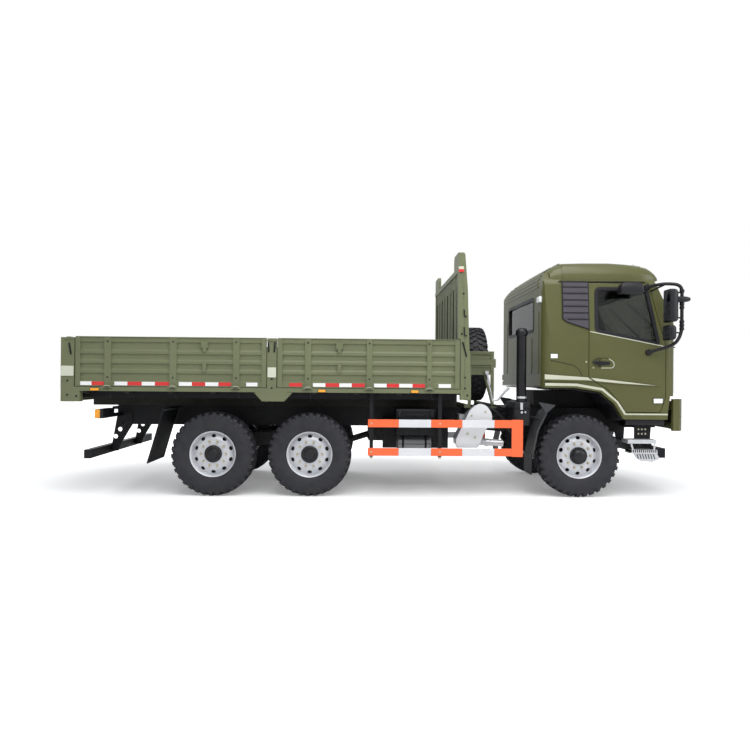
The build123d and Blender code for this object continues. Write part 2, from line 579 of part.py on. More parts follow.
WHEEL_R = 225
WHEEL_AXIS = Vector(-0.82, 0, 0.57)
WHEEL_CENTRE = (3440, 600, 1990)
with BuildPart() as steering_wheel:
    wheel_plane = Plane(origin=WHEEL_CENTRE, z_dir=WHEEL_AXIS, x_dir=(0, 1, 0))
    with BuildSketch(wheel_plane) as ring:
        RegularPolygon(WHEEL_R, 20)
        RegularPolygon(WHEEL_R - 30, 20, mode=Mode.SUBTRACT)
        Rectangle(2 * WHEEL_R - 45, 40)
        RegularPolygon(62, 8)
    extrude(ring.sketch, amount=26)
    with BuildSketch(wheel_plane) as column:
        RegularPolygon(24, 8)
    extrude(column.sketch, amount=-165)
save(steering_wheel, "steering_wheel")

# Mirrors on their tube arms; the near-kerb mirror is on the right door only
ARM_R = 13
ARM_ROUTE = ((3505, 1129, 2765), (3640, 1300, 2790), (3822, 1400, 2760), (3822, 1400, 2150),
             (3740, 1400, 2000), (3505, 1183, 1906))
for hand, side in SIDES:
    with BuildPart() as mirror:
        route = [(x, side * y, z) for x, y, z in ARM_ROUTE]
        for start, end in zip(route, route[1:]):
            reach = (Vector(*end) - Vector(*start)).normalized() * ARM_R / 2
            rod(Vector(*start) - reach, Vector(*end) + reach, ARM_R, 6)
        # Columns: x range, y range, z range of each head
        for (rear_x, front_x), (low_y, high_y), z_range in (((3637, 3746), (1290, 1485), (2285, 2698)),
                                                            ((3631, 3721), (1290, 1485), (2057, 2241)),
                                                            ((3750, 3915), (1345, 1455), (2540, 2606))):
            round_x = (rear_x + front_x) / 2
            plan_plate([(x, side * y) for x, y in ((rear_x, low_y), (rear_x, high_y), (round_x, high_y),
                                                   (front_x, high_y - 45), (front_x, low_y + 45),
                                                   (round_x, low_y))], z_range)
        for link_z in (2630, 2380, 2170):
            rod((3715, side * 1400, link_z), (3822, side * 1400, link_z), 10, 6)
        if side < 0:
            block((3056, 3357), mirrored((1235, 1375), side), (2655, 2785))
            rod((3206, side * 1122, 2760), (3206, side * 1260, 2740), 12, 6)
    save(mirror, f"mirror_{hand}")

# Bumper wrapping round the cab's lower corners
BUMPER_Z = (883, 1262)
BUMPER_CORNER_Z = 1300
BUMPER_PLAN = ((3840, 1110), (3840, 1168), (3925, 1168), (3992, 1090), (4038, 700), (4045, 300),
               (4045, -300), (4038, -700), (3992, -1090), (3925, -1168), (3840, -1168), (3840, -1110),
               (3895, -1110), (3940, -1050), (3998, -680), (4003, -300), (4003, 300), (3998, 680),
               (3940, 1050), (3895, 1110))
HEADLAMP_Y = (690, 960)
HEADLAMP_Z = (960, 1150)
with BuildPart() as bumper:
    with BuildSketch(Plane.XY.offset(BUMPER_Z[0])) as bumper_plan:
        with BuildLine():
            Polyline(*BUMPER_PLAN, close=True)
        make_face()
    extrude(bumper_plan.sketch, amount=BUMPER_CORNER_Z - BUMPER_Z[0])
    block((3700, 4100), (-1010, 1010), (BUMPER_Z[1], 1400), mode=Mode.SUBTRACT)
    for _, side in SIDES:
        block((3800, 4100), mirrored(HEADLAMP_Y, side), HEADLAMP_Z, mode=Mode.SUBTRACT)
        block((FRAME_X[1], 4010), mirrored((RAIL_Y - 60, RAIL_Y), side), (900, 1100))
save(bumper, "bumper")

# Lamps: two headlamps, three amber side lamps a side, two tail lamps
AMBER_X = ((-3675, -3556), (-792, -687), (398, 503))
with BuildPart() as lamps:
    for _, side in SIDES:
        block((3960, 4026), mirrored((HEADLAMP_Y[0], HEADLAMP_Y[1]), side), HEADLAMP_Z)
        for amber_x in AMBER_X:
            block(amber_x, mirrored((1232, 1246), side), (1352, 1394))
        block((-3665, -3560), mirrored((745, 1110), side), (993, 1116))
save(lamps, "lamps")

# Cab steps on a bracket from the chassis rail
with BuildPart() as cab_steps:
    for _, side in SIDES:
        block((3460, 3540), mirrored((RAIL_Y + 5, 1010), side), (900, 950))
        block((3398, 3604), mirrored((1000, 1010), side), (763, 958))
        block((3254, 3630), mirrored((960, 1150), side), (716, 763))
        for arm_x in (3310, 3590):
            side_plate(((arm_x - 14, 720), (arm_x + 14, 720), (arm_x + 44, 590), (arm_x + 16, 590)),
                       mirrored((1040, 1060), side))
        side_plate(((3294, 585), (3645, 585), (3645, 630), (3600, 630), (3580, 500), (3560, 462), (3380, 462),
                    (3350, 500), (3330, 630), (3294, 630)), mirrored((975, 990), side))
        block((3294, 3645), mirrored((975, 1150), side), (585, 630))
save(cab_steps, "cab_steps")

# Side guards: two rails, two posts and an end plate a side
with BuildPart() as side_guards:
    for _, side in SIDES:
        for rail_z in ((546, 642), (912, 1010)):
            block((-147, 1716), mirrored((1180, 1202), side), rail_z)
        block((1716, 1858), mirrored((1180, 1202), side), (540, 1015))
        for post_x in (-102, 784):
            block((post_x - 24, post_x + 24), mirrored((1142, 1180), side), (530, 1351))
save(side_guards, "side_guards")

# Boxes and tanks hung on the rails
with BuildPart() as battery_box:
    block((227, 722), (-1100, -640), (800, 1138))
    for rib_x in (270, 340, 410, 540, 610, 680):
        block((rib_x - 14, rib_x + 14), (-1112, -1100), (820, 1120))
    block((330, 620), (-640, -RAIL_Y - 5), (900, 1100))
save(battery_box, "battery_box")

# Columns: distance along the tank, radius
TANK_END = [(-236.5, 60), (-212, 105)]
with BuildPart() as air_tanks:
    with Locations((471.5, -900, 690)):
        add(turned(TANK_END + [(-along, radius) for along, radius in reversed(TANK_END)], 12),
            rotation=(0, 0, 90))
    for strap_x in (320, 620):
        block((strap_x - 15, strap_x + 15), (-920, -880), (700, 800))
save(air_tanks, "air_tanks")

# Columns: y, z round half of the tank's rounded section, then mirrored about its middle height
TANK_SECTION = ((640, 710), (649, 675), (675, 649), (710, 640), (1050, 640), (1085, 649), (1111, 675),
                (1120, 710))
TANK_MID_Z = 880
with BuildPart() as fuel_tank:
    upper = [(y, 2 * TANK_MID_Z - z) for y, z in reversed(TANK_SECTION)]
    front_plate([*TANK_SECTION, *upper], (-60, 1150))
    for strap_x in (150, 900):
        block((strap_x - 40, strap_x + 40), (RAIL_Y + 5, 660), (880, 1100))
save(fuel_tank, "fuel_tank")

# Silencer behind its slanted two-part heat shield
SHIELD = ((1322, 1219), (1479, 1068), (1487, 1017), (1422, 898), (1370, 805), (1308, 636), (1015, 635),
          (1008, 741), (1090, 900), (1166, 1068))
with BuildPart() as silencer:
    with BuildSketch(Plane.XZ.offset(1020)) as shield:
        with BuildLine():
            Polyline(*SHIELD, close=True)
        make_face()
        chamfer(shield.vertices(), 14)
    extrude(shield.sketch, amount=40)
    with BuildSketch(Plane.XZ.offset(650)) as drum:
        with BuildLine():
            Polyline(*SHIELD, close=True)
        make_face()
        offset(amount=-25, kind=Kind.INTERSECTION, mode=Mode.REPLACE)
    extrude(drum.sketch, amount=370)
    rod((1250, -880, 720), (1660, -880, 680), 45)
    block((1120, 1360), (-660, -RAIL_Y - 5), (900, 1050))
save(silencer, "silencer")

# Rear underrun bar on two tapered plates
with BuildPart() as rear_underrun:
    block((-3780, -3700), (-1150, 1150), (484, 596))
    for _, side in SIDES:
        side_plate(((-3710, 500), (-3710, 590), (-3632, 1040), (-3430, 1040), (-3430, 866), (-3580, 610),
                    (-3620, 500)), mirrored((RAIL_Y + 5, RAIL_Y + 17), side))
        for hole_x, hole_z in ((-3660, 700), (-3600, 800), (-3540, 900)):
            rod((hole_x, side * RAIL_Y, hole_z), (hole_x, side * (RAIL_Y + 30), hole_z), 32,
                mode=Mode.SUBTRACT)
        block((-3640, -3560), mirrored((RAIL_Y + 10, 745), side), (995, 1035))
save(rear_underrun, "rear_underrun")

# Mudguards behind the front wheels, and rear mudflaps
GUARD_PATH = ((2293, 1200), (2178, 1100), (2068, 880), (1998, 550))
FLAP_PATH = ((-2772, 1134), (-2976, 423))
FLAP_THICK = 12
with BuildPart() as mudguards:
    for _, side in SIDES:
        outer = [(x - 10, z + 6) for x, z in reversed(GUARD_PATH)]
        side_plate([*GUARD_PATH, *outer], mirrored((800, 1150), side))
        side_plate(((2293, 1200), (2293, 1212), (2082, 1246), (2082, 1236), (2170, 1106)),
                   mirrored((1138, 1150), side))
        rod((2128, side * (RAIL_Y + 5), 1020), (2128, side * 1100, 1020), 18)
        flap_back = [(x - FLAP_THICK, z) for x, z in reversed(FLAP_PATH)]
        side_plate([*FLAP_PATH, *flap_back], mirrored((800, 1130), side))
        rod((-2778, side * (RAIL_Y + 5), 1110), (-2778, side * 1110, 1110), 16)
save(mudguards, "mudguards")

# Raised air intake with its rain cap, on the filter housing
# Columns: height, radius
RAIN_CAP = ((0, 68), (12, 92), (48, 94), (68, 76), (78, 30))
FILTER_PLAN = ((1820, -1040), (1970, -1040), (1998, -1028), (2010, -1000), (2010, -600), (1780, -600),
               (1780, -1000), (1792, -1028))
with BuildPart() as snorkel:
    plan_plate(FILTER_PLAN, (930, 1240))
    block((1830, 1960), (-600, -RAIL_Y - 5), (950, 1100))
    rod((1898, -950, 1235), (1898, -950, 2160), 65, 12)
    with Locations((1898, -950, 2150)):
        add(turned(RAIN_CAP, 12), rotation=(90, 0, 0))
save(snorkel, "snorkel")

# Spare wheel upright behind the cab, and its carrier
SPARE = (1408, 0, 1762)
with BuildPart() as spare_tyre:
    with Locations(SPARE):
        add(tyre_form.part, rotation=(0, 0, -90))
save(spare_tyre, "spare_tyre")

spare_rim_form = rim_form(())
with BuildPart() as spare_rim:
    with Locations(SPARE):
        add(spare_rim_form, rotation=(0, 0, -90))
save(spare_rim, "spare_rim")

with BuildPart() as spare_carrier:
    for _, side in SIDES:
        # Columns: x range, z range of each bar of a side frame
        for x_range, z_range in (((1243, 1283), (1140, 1925)), ((1560, 1600), (1140, 1925)),
                                 ((1283, 1560), (1885, 1925)), ((1283, 1560), (1736, 1806)),
                                 ((1283, 1560), (1600, 1630))):
            block(x_range, mirrored((598, 638), side), z_range)
        block((1283, 1560), mirrored((608, 618), side), (1630, 1885))
        rod((1462, side * 628, 1625), (1574, side * 628, 1200), 16, 6)
    for x_range in ((1190, 1243), (1600, 1640)):
        block(x_range, (-638, 638), (1140, 1190))
    block((1600, 1625), (-638, 638), (1700, 1820))
    rod((1350, 0, SPARE[2]), (1600, 0, SPARE[2]), 40)
save(spare_carrier, "spare_carrier")

# Towing jaw at the rear of the frame, and recovery eyes on the front beam
HITCH_PIN_R = 25
HITCH_X = -3815
with BuildPart() as tow_hitch:
    block((-3680, -3640), (-90, 90), (940, 1120))
    for jaw_z in ((960, 1000), (1060, 1100)):
        block((HITCH_X - 45, -3680), (-70, 70), jaw_z)
    pin((HITCH_X, 0, 950), (HITCH_X, 0, 1110), HITCH_PIN_R, mode=Mode.SUBTRACT)
save(tow_hitch, "tow_hitch")

EYE_R = 22
EYE_X, EYE_Z = 3941, 565
with BuildPart() as tow_eyes:
    for _, side in SIDES:
        eye_y = mirrored((600, 640), side)
        block((3900, EYE_X), eye_y, (EYE_Z - 40, EYE_Z + 40))
        rod((EYE_X, eye_y[0], EYE_Z), (EYE_X, eye_y[1], EYE_Z), 40.5, 16)
        pin((EYE_X, eye_y[0] - 1, EYE_Z), (EYE_X, eye_y[1] + 1, EYE_Z), EYE_R, mode=Mode.SUBTRACT)
save(tow_eyes, "tow_eyes")
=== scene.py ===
# %% [markdown]
# # Three-axle military cargo truck
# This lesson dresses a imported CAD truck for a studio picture. The CAD model is the fixed frame: it
# gives every panel its place, so this file only adds finishes, and the forms that are finer than
# the CAD, such as tyre blocks, rims, seams, trims and seat cushions.

import math

import bmesh
import bpy
from mathutils import Matrix, Vector
from mathutils.bvhtree import BVHTree


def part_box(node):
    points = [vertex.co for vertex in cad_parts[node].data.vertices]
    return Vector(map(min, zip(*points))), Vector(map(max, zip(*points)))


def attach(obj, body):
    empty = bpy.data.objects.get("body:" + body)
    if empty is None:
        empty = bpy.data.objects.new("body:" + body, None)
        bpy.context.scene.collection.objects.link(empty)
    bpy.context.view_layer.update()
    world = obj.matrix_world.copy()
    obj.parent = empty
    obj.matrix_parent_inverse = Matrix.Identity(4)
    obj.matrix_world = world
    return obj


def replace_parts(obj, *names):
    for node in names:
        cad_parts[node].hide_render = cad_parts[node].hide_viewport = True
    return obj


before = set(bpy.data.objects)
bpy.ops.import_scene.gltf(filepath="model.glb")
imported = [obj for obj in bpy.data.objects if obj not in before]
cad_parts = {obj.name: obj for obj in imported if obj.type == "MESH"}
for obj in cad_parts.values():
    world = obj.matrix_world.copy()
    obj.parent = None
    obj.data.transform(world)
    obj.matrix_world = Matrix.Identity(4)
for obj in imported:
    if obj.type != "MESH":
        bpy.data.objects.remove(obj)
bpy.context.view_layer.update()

# %% [markdown]
# ## Camera
# The picture is a plain side view of the truck's right side. The lens and the place were worked
# out from the wheel centres and tyre outlines, as a pinhole camera without shift. The camera
# stands about eight metres from the side, a little ahead of the truck's middle.

# %% Camera
CAMERA_PLACE = Vector((-0.2413, -9.007, 1.5554))
CAMERA_YAW, CAMERA_PITCH, CAMERA_ROLL = 0.023, 0.0035, 0.0082
FOCAL_PX = 606.93
PICTURE_PX = 750
SENSOR_MM = 36.0
CAMERA_REACH = 200


def add_object(name, data):
    """A new object, linked to the scene."""
    thing = bpy.data.objects.new(name, data)
    bpy.context.scene.collection.objects.link(thing)
    return thing


def add_camera():
    forward = Vector((math.sin(CAMERA_YAW) * math.cos(CAMERA_PITCH),
                      math.cos(CAMERA_YAW) * math.cos(CAMERA_PITCH), math.sin(CAMERA_PITCH)))
    level_right = Vector((math.cos(CAMERA_YAW), -math.sin(CAMERA_YAW), 0))
    level_up = level_right.cross(forward)
    right = math.cos(CAMERA_ROLL) * level_right + math.sin(CAMERA_ROLL) * level_up
    up = math.cos(CAMERA_ROLL) * level_up - math.sin(CAMERA_ROLL) * level_right
    data = bpy.data.cameras.new("camera")
    data.sensor_fit = "HORIZONTAL"
    data.sensor_width = SENSOR_MM
    data.lens = FOCAL_PX / PICTURE_PX * SENSOR_MM
    data.clip_end = CAMERA_REACH
    camera = add_object("camera", data)
    turn = Matrix((right, up, -forward)).transposed().to_4x4()
    camera.matrix_world = Matrix.Translation(CAMERA_PLACE) @ turn
    bpy.context.scene.camera = camera


add_camera()
print("lens", round(bpy.context.scene.camera.data.lens, 2), "mm")

# %% [markdown]
# ## Floor and light
# A white floor and a white surround keep the plain look of a catalogue picture. The camera sees
# the world as white, while the light that falls on the truck stays level, so that a paint renders
# about as its colour is written. One large soft lamp above the near side models the panels, and
# two smaller ones light the front and the back.

# %% Floor, world and lamps
WORLD_LIGHT = 0.62
WORLD_COLOUR = (0.94, 0.97, 1.0, 1)
FLOOR_HALF = 60
FLOOR_COLOUR = (0.86, 0.86, 0.86, 1)
# The floor near the truck keeps its shadow, and further away it fades into the white surround
FLOOR_REACH = (6.0, 3.2)
FLOOR_FADE = (0.75, 1.35)
FLOOR_GLOW = (0.20, 0.75)
bpy.context.scene.view_settings.view_transform = "Standard"


def add_world():
    world = bpy.data.worlds.new("studio")
    bpy.context.scene.world = world
    world.use_nodes = True
    nodes, links = world.node_tree.nodes, world.node_tree.links
    nodes.clear()
    path = nodes.new("ShaderNodeLightPath")
    seen = nodes.new("ShaderNodeMath")
    seen.operation = "MAXIMUM"
    links.new(path.outputs["Is Camera Ray"], seen.inputs[0])
    links.new(path.outputs["Is Transmission Ray"], seen.inputs[1])
    lit = nodes.new("ShaderNodeBackground")
    lit.inputs["Color"].default_value = WORLD_COLOUR
    lit.inputs["Strength"].default_value = WORLD_LIGHT
    white = nodes.new("ShaderNodeBackground")
    white.inputs["Color"].default_value = (1, 1, 1, 1)
    choose = nodes.new("ShaderNodeMixShader")
    links.new(seen.outputs[0], choose.inputs["Fac"])
    links.new(lit.outputs[0], choose.inputs[1])
    links.new(white.outputs[0], choose.inputs[2])
    links.new(choose.outputs[0], nodes.new("ShaderNodeOutputWorld").inputs["Surface"])


def add_floor():
    mesh = bpy.data.meshes.new("floor")
    corners = [(x * FLOOR_HALF, y * FLOOR_HALF, 0) for x, y in ((-1, -1), (1, -1), (1, 1), (-1, 1))]
    mesh.from_pydata(corners, [], [(0, 1, 2, 3)])
    floor = add_object("floor", mesh)
    material = bpy.data.materials.new("floor_white")
    material.use_nodes = True
    nodes, links = material.node_tree.nodes, material.node_tree.links
    shader = nodes["Principled BSDF"]
    shader.inputs["Base Color"].default_value = FLOOR_COLOUR
    shader.inputs["Roughness"].default_value = 0.9
    flat = nodes.new("ShaderNodeMapping")
    flat.inputs["Scale"].default_value = (1 / FLOOR_REACH[0], 1 / FLOOR_REACH[1], 1)
    links.new(nodes.new("ShaderNodeTexCoord").outputs["Object"], flat.inputs["Vector"])
    reach = nodes.new("ShaderNodeVectorMath")
    reach.operation = "LENGTH"
    links.new(flat.outputs[0], reach.inputs[0])
    fade = nodes.new("ShaderNodeMapRange")
    links.new(reach.outputs["Value"], fade.inputs["Value"])
    fade.inputs["From Min"].default_value, fade.inputs["From Max"].default_value = FLOOR_FADE
    fade.inputs["To Min"].default_value, fade.inputs["To Max"].default_value = FLOOR_GLOW
    path = nodes.new("ShaderNodeLightPath")
    glow = nodes.new("ShaderNodeMath")
    glow.operation = "MULTIPLY"
    links.new(fade.outputs["Result"], glow.inputs[1])
    links.new(path.outputs["Is Camera Ray"], glow.inputs[0])
    shader.inputs["Emission Color"].default_value = (1, 1, 1, 1)
    links.new(glow.outputs[0], shader.inputs["Emission Strength"])
    mesh.materials.append(material)


def add_lamp(name, place, target, size, power):
    data = bpy.data.lights.new(name, "AREA")
    data.size = size
    data.energy = power
    lamp = add_object(name, data)
    lamp.location = place
    lamp.rotation_mode = "QUATERNION"
    lamp.rotation_quaternion = (Vector(target) - Vector(place)).to_track_quat("-Z", "Y")


add_world()
add_floor()
# Columns: name, place, target, size, power
for lamp_row in (("sky_panel", (1.0, -5.0, 9.0), (0, 0, 1.2), 9.0, 900),
                 ("front_panel", (11.0, -6.0, 5.0), (2.5, 0, 1.5), 5.0, 260),
                 ("back_panel", (-7.0, 8.0, 6.0), (-1.0, 0, 1.5), 6.0, 260)):
    add_lamp(*lamp_row)
print("world light", WORLD_LIGHT)

# %% [markdown]
# ## Shader groups
# Several finishes share the same effects: the slight unevenness of sprayed paint, road dust that
# gathers low down, and a fine grain. They are built once as a node group with named sockets, so
# one change reaches every material that uses it.

# %% A helper for shader groups
def socket_group(name, inputs, outputs):
    """A shader group with (name, type, default) inputs and (name, type) outputs."""
    group = bpy.data.node_groups.new(name, "ShaderNodeTree")
    for label, kind, default in inputs:
        socket = group.interface.new_socket(name=label, in_out="INPUT", socket_type=kind)
        socket.default_value = default
    for label, kind in outputs:
        group.interface.new_socket(name=label, in_out="OUTPUT", socket_type=kind)
    entry = group.nodes.new("NodeGroupInput")
    leave = group.nodes.new("NodeGroupOutput")
    return group, entry, leave


def noise(nodes, links, vector, scale, detail=3.0, stretch=None):
    """A noise texture over a vector, which may be stretched first."""
    texture = nodes.new("ShaderNodeTexNoise")
    texture.inputs["Detail"].default_value = detail
    if isinstance(scale, bpy.types.NodeSocket):
        links.new(scale, texture.inputs["Scale"])
    else:
        texture.inputs["Scale"].default_value = scale
    if stretch:
        mapping = nodes.new("ShaderNodeMapping")
        mapping.inputs["Scale"].default_value = stretch
        links.new(vector, mapping.inputs["Vector"])
        vector = mapping.outputs[0]
    links.new(vector, texture.inputs["Vector"])
    return texture.outputs["Fac"]


def ranged(nodes, links, value, low, high, to_low=0.0, to_high=1.0):
    """A value mapped from one range to another and clamped."""
    step = nodes.new("ShaderNodeMapRange")
    links.new(value, step.inputs["Value"])
    for label, number in (("From Min", low), ("From Max", high), ("To Min", to_low), ("To Max", to_high)):
        step.inputs[label].default_value = number
    return step.outputs["Result"]


def calculate(nodes, links, operation, first, second):
    """One maths node on two values, each a socket or a number."""
    step = nodes.new("ShaderNodeMath")
    step.operation = operation
    for place, value in enumerate((first, second)):
        if isinstance(value, bpy.types.NodeSocket):
            links.new(value, step.inputs[place])
        else:
            step.inputs[place].default_value = value
    return step.outputs[0]


def mixed(nodes, links, share, first, second, blend="MIX"):
    """Two colours mixed by a share; each is a socket or a colour."""
    step = nodes.new("ShaderNodeMix")
    step.data_type = "RGBA"
    step.blend_type = blend
    for label, value in ((0, share), (6, first), (7, second)):
        if isinstance(value, bpy.types.NodeSocket):
            links.new(value, step.inputs[label])
        else:
            step.inputs[label].default_value = value
    return step.outputs[2]


# %% Paint unevenness and road dust
def paint_group():
    """Sprayed paint: soft patches, fine grain and dust that gathers low down."""
    group, entry, leave = socket_group("sprayed_paint", (
        ("Colour", "NodeSocketColor", (0.2, 0.2, 0.1, 1)), ("Patches", "NodeSocketFloat", 0.12),
        ("Dust", "NodeSocketFloat", 0.15), ("Dust colour", "NodeSocketColor", (0.36, 0.34, 0.28, 1)),
        ("Dust height", "NodeSocketFloat", 1.3)),
        (("Colour", "NodeSocketColor"), ("Roughness shift", "NodeSocketFloat"),
         ("Height", "NodeSocketFloat")))
    nodes, links = group.nodes, group.links
    place = nodes.new("ShaderNodeTexCoord").outputs["Object"]
    patch = ranged(nodes, links, noise(nodes, links, place, 1.7, 4), 0.3, 0.7, -1, 1)
    patch = calculate(nodes, links, "MULTIPLY", patch, entry.outputs["Patches"])
    bright = calculate(nodes, links, "ADD", patch, 1.0)
    combine = nodes.new("ShaderNodeCombineColor")
    for channel in range(3):
        links.new(bright, combine.inputs[channel])
    tinted = mixed(nodes, links, 1.0, entry.outputs["Colour"], combine.outputs[0], "MULTIPLY")
    split = nodes.new("ShaderNodeSeparateXYZ")
    links.new(place, split.inputs[0])
    low = nodes.new("ShaderNodeMapRange")
    links.new(split.outputs["Z"], low.inputs["Value"])
    low.inputs["From Min"].default_value = 0.3
    links.new(entry.outputs["Dust height"], low.inputs["From Max"])
    low.inputs["To Min"].default_value = 1.0
    low.inputs["To Max"].default_value = 0.25
    speck = ranged(nodes, links, noise(nodes, links, place, 9.0, 6), 0.35, 0.75)
    share = calculate(nodes, links, "MULTIPLY", low.outputs["Result"], speck)
    share = calculate(nodes, links, "MULTIPLY", share, entry.outputs["Dust"])
    coloured = mixed(nodes, links, share, tinted, entry.outputs["Dust colour"])
    links.new(coloured, leave.inputs["Colour"])
    rough = calculate(nodes, links, "ADD", calculate(nodes, links, "MULTIPLY", share, 0.5),
                      calculate(nodes, links, "MULTIPLY", patch, 0.5))
    links.new(rough, leave.inputs["Roughness shift"])
    grain = noise(nodes, links, place, 420.0, 2)
    links.new(grain, leave.inputs["Height"])
    return group


PAINT = paint_group()

# %% [markdown]
# ## Finishes
# Every finish is a material with its own Principled shader. The group above feeds its colour,
# roughness and bump, and each finish sets its own values. The cab is a satin olive; the bed's
# paint is greyer and more matt; the chassis is black.

# %% Materials made with the paint group
def paint(name, colour, roughness, patches=0.1, dust=0.12, metallic=0.0, coat=0.0, bump=0.05, dust_height=1.3,
          shine=0.5):
    """A sprayed or moulded surface."""
    material = bpy.data.materials.new(name)
    material.use_nodes = True
    nodes, links = material.node_tree.nodes, material.node_tree.links
    shader = nodes["Principled BSDF"]
    film = nodes.new("ShaderNodeGroup")
    film.node_tree = PAINT
    film.inputs["Colour"].default_value = (*colour, 1)
    film.inputs["Patches"].default_value = patches
    film.inputs["Dust"].default_value = dust
    film.inputs["Dust height"].default_value = dust_height
    links.new(film.outputs["Colour"], shader.inputs["Base Color"])
    rough = calculate(nodes, links, "ADD", film.outputs["Roughness shift"], roughness)
    links.new(rough, shader.inputs["Roughness"])
    relief = nodes.new("ShaderNodeBump")
    relief.inputs["Strength"].default_value = bump
    relief.inputs["Distance"].default_value = 0.002
    links.new(film.outputs["Height"], relief.inputs["Height"])
    links.new(relief.outputs[0], shader.inputs["Normal"])
    shader.inputs["Metallic"].default_value = metallic
    shader.inputs["Specular IOR Level"].default_value = shine
    shader.inputs["Coat Weight"].default_value = coat
    shader.inputs["Coat Roughness"].default_value = 0.15
    return material


CAB_PAINT = paint("cab_paint", (0.084, 0.087, 0.027), 0.34, patches=0.05, dust=0.04, coat=0.15, shine=0.35)
BED_PAINT = paint("bed_paint", (0.140, 0.154, 0.082), 0.5, patches=0.06, dust=0.06, shine=0.35)
# A darker olive for painted shade lines between the headboard's ribs
SHADE_PAINT = paint("bed_painted_shade", (0.045, 0.050, 0.026), 0.6, patches=0.05, dust=0.04, shine=0.3)
# Pale olive for painted highlights: the light that mouldings, the belt line, rims and top faces catch
MOULDING_HIGHLIGHT = paint("moulding_painted_highlight", (0.50, 0.51, 0.40), 0.4, patches=0.05, dust=0.05)
CHASSIS = paint("chassis_black", (0.005, 0.005, 0.007), 0.5, patches=0.2, dust=0.035, shine=0.25)
PLASTIC = paint("black_plastic", (0.009, 0.009, 0.012), 0.42, patches=0.1, dust=0.02, bump=0.25, shine=0.35)
LOUVRE_GREY = paint("louvre_plastic", (0.060, 0.054, 0.068), 0.45, patches=0.05, dust=0.03, bump=0.2,
                    shine=0.35)
MUDGUARD_GREY = paint("mudguard_plastic", (0.034, 0.036, 0.040), 0.55, patches=0.1, dust=0.08, bump=0.3,
                      shine=0.3)
CAST = paint("cast_iron", (0.012, 0.012, 0.012), 0.6, patches=0.3, dust=0.10, bump=0.5, shine=0.3)
RIM_SILVER = paint("rim_silver", (0.56, 0.57, 0.60), 0.34, patches=0.05, dust=0.05, metallic=0.25)
HUB_BLACK = paint("hub_black", (0.006, 0.006, 0.008), 0.35, patches=0.1, dust=0.02, shine=0.4)
BARE_METAL = paint("bare_aluminium", (0.62, 0.63, 0.65), 0.38, patches=0.08, dust=0.1, metallic=0.6)
STRIPE_ORANGE = paint("stripe_orange", (0.86, 0.13, 0.035), 0.4, patches=0.04, dust=0.04)
STRIPE_WHITE = paint("stripe_white", (0.66, 0.66, 0.69), 0.4, patches=0.05, dust=0.08)
TAPE_RED = paint("tape_red", (0.62, 0.03, 0.03), 0.3, patches=0.03, dust=0.03)
TAPE_WHITE = paint("tape_white", (0.8, 0.8, 0.8), 0.3, patches=0.03, dust=0.03)
AMBER = paint("amber_lens", (0.90, 0.36, 0.02), 0.2, patches=0.02, dust=0.03, coat=0.5)
RED_LENS = paint("red_lens", (0.5, 0.02, 0.02), 0.2, patches=0.02, dust=0.03, coat=0.5)
CLEAR_LENS = paint("clear_lens", (0.8, 0.82, 0.84), 0.12, patches=0.02, dust=0.02, coat=0.6)
FLOOR_BOARD = paint("floor_board", (0.020, 0.019, 0.016), 0.7, patches=0.25, dust=0.10, bump=0.3, shine=0.3)
SEAT_CLOTH = paint("seat_cloth", (0.05, 0.052, 0.05), 0.85, patches=0.1, dust=0.03, bump=0.6)
TYRE_RUBBER = paint("tyre_rubber", (0.018, 0.018, 0.023), 0.58, patches=0.15, dust=0.03, bump=0.35,
                    shine=0.35)
NUT_STEEL = paint("nut_zinc", (0.5, 0.46, 0.34), 0.4, patches=0.1, dust=0.1, metallic=0.6)
SHIELD_METAL = paint("shield_metal", (0.70, 0.71, 0.73), 0.42, patches=0.05, dust=0.08, metallic=0.2)
TANK_METAL = paint("tank_metal", (0.20, 0.205, 0.21), 0.30, patches=0.08, dust=0.08, metallic=0.7)
STRIPE_PALE = paint("pale_enamel", (0.56, 0.58, 0.47), 0.4, patches=0.04, dust=0.04)
MIRROR = paint("mirror_glass", (0.80, 0.82, 0.84), 0.04, patches=0.0, dust=0.0, metallic=1.0, bump=0.0)


def glass(name, tint, roughness=0.02):
    """Clear window glass with a faint tint."""
    material = bpy.data.materials.new(name)
    material.use_nodes = True
    shader = material.node_tree.nodes["Principled BSDF"]
    shader.inputs["Base Color"].default_value = (*tint, 1)
    shader.inputs["Roughness"].default_value = roughness
    shader.inputs["Transmission Weight"].default_value = 1.0
    shader.inputs["IOR"].default_value = 1.45
    return material


WINDOW = glass("window_glass", (0.20, 0.21, 0.185))
print("materials:", len(bpy.data.materials))

# %% Finish of every CAD node
# Columns: material, nodes
NODE_FINISH = (
    (CAB_PAINT, ("cab_shell", "cab_roof", "door_right", "door_left", "grille_flap", "bumper")),
    (BED_PAINT, ("bed_frame", "headboard", "tailgate", "board_rear_right", "board_rear_left",
                 "board_front_right", "board_front_left", "spare_carrier")),
    (CHASSIS, ("chassis_frame", "front_axle", "rear_axles", "springs", "rear_underrun", "tow_hitch",
               "tow_eyes", "battery_box", "air_tanks", "fuel_tank", "cab_steps", "tie_rod",
               "knuckle_right", "knuckle_left", "snorkel", "side_guards")),
    (PLASTIC, ("dashboard", "mirror_right", "mirror_left", "steering_wheel")),
    (LOUVRE_GREY, ("cab_louvres",)),
    (MUDGUARD_GREY, ("mudguards",)),
    (CAST, ("powertrain",)),
    (BARE_METAL, ("silencer",)),
    (AMBER, ("lamps",)),
    (FLOOR_BOARD, ("bed_floor",)),
    (SEAT_CLOTH, ("seats",)),
    (WINDOW, ("cab_glass", "door_glass_right", "door_glass_left")),
    (RIM_SILVER, ("spare_rim",)),
    (TYRE_RUBBER, ("spare_tyre",)))
EDGE_WIDTH = 0.004
EDGE_ANGLE = math.radians(30)


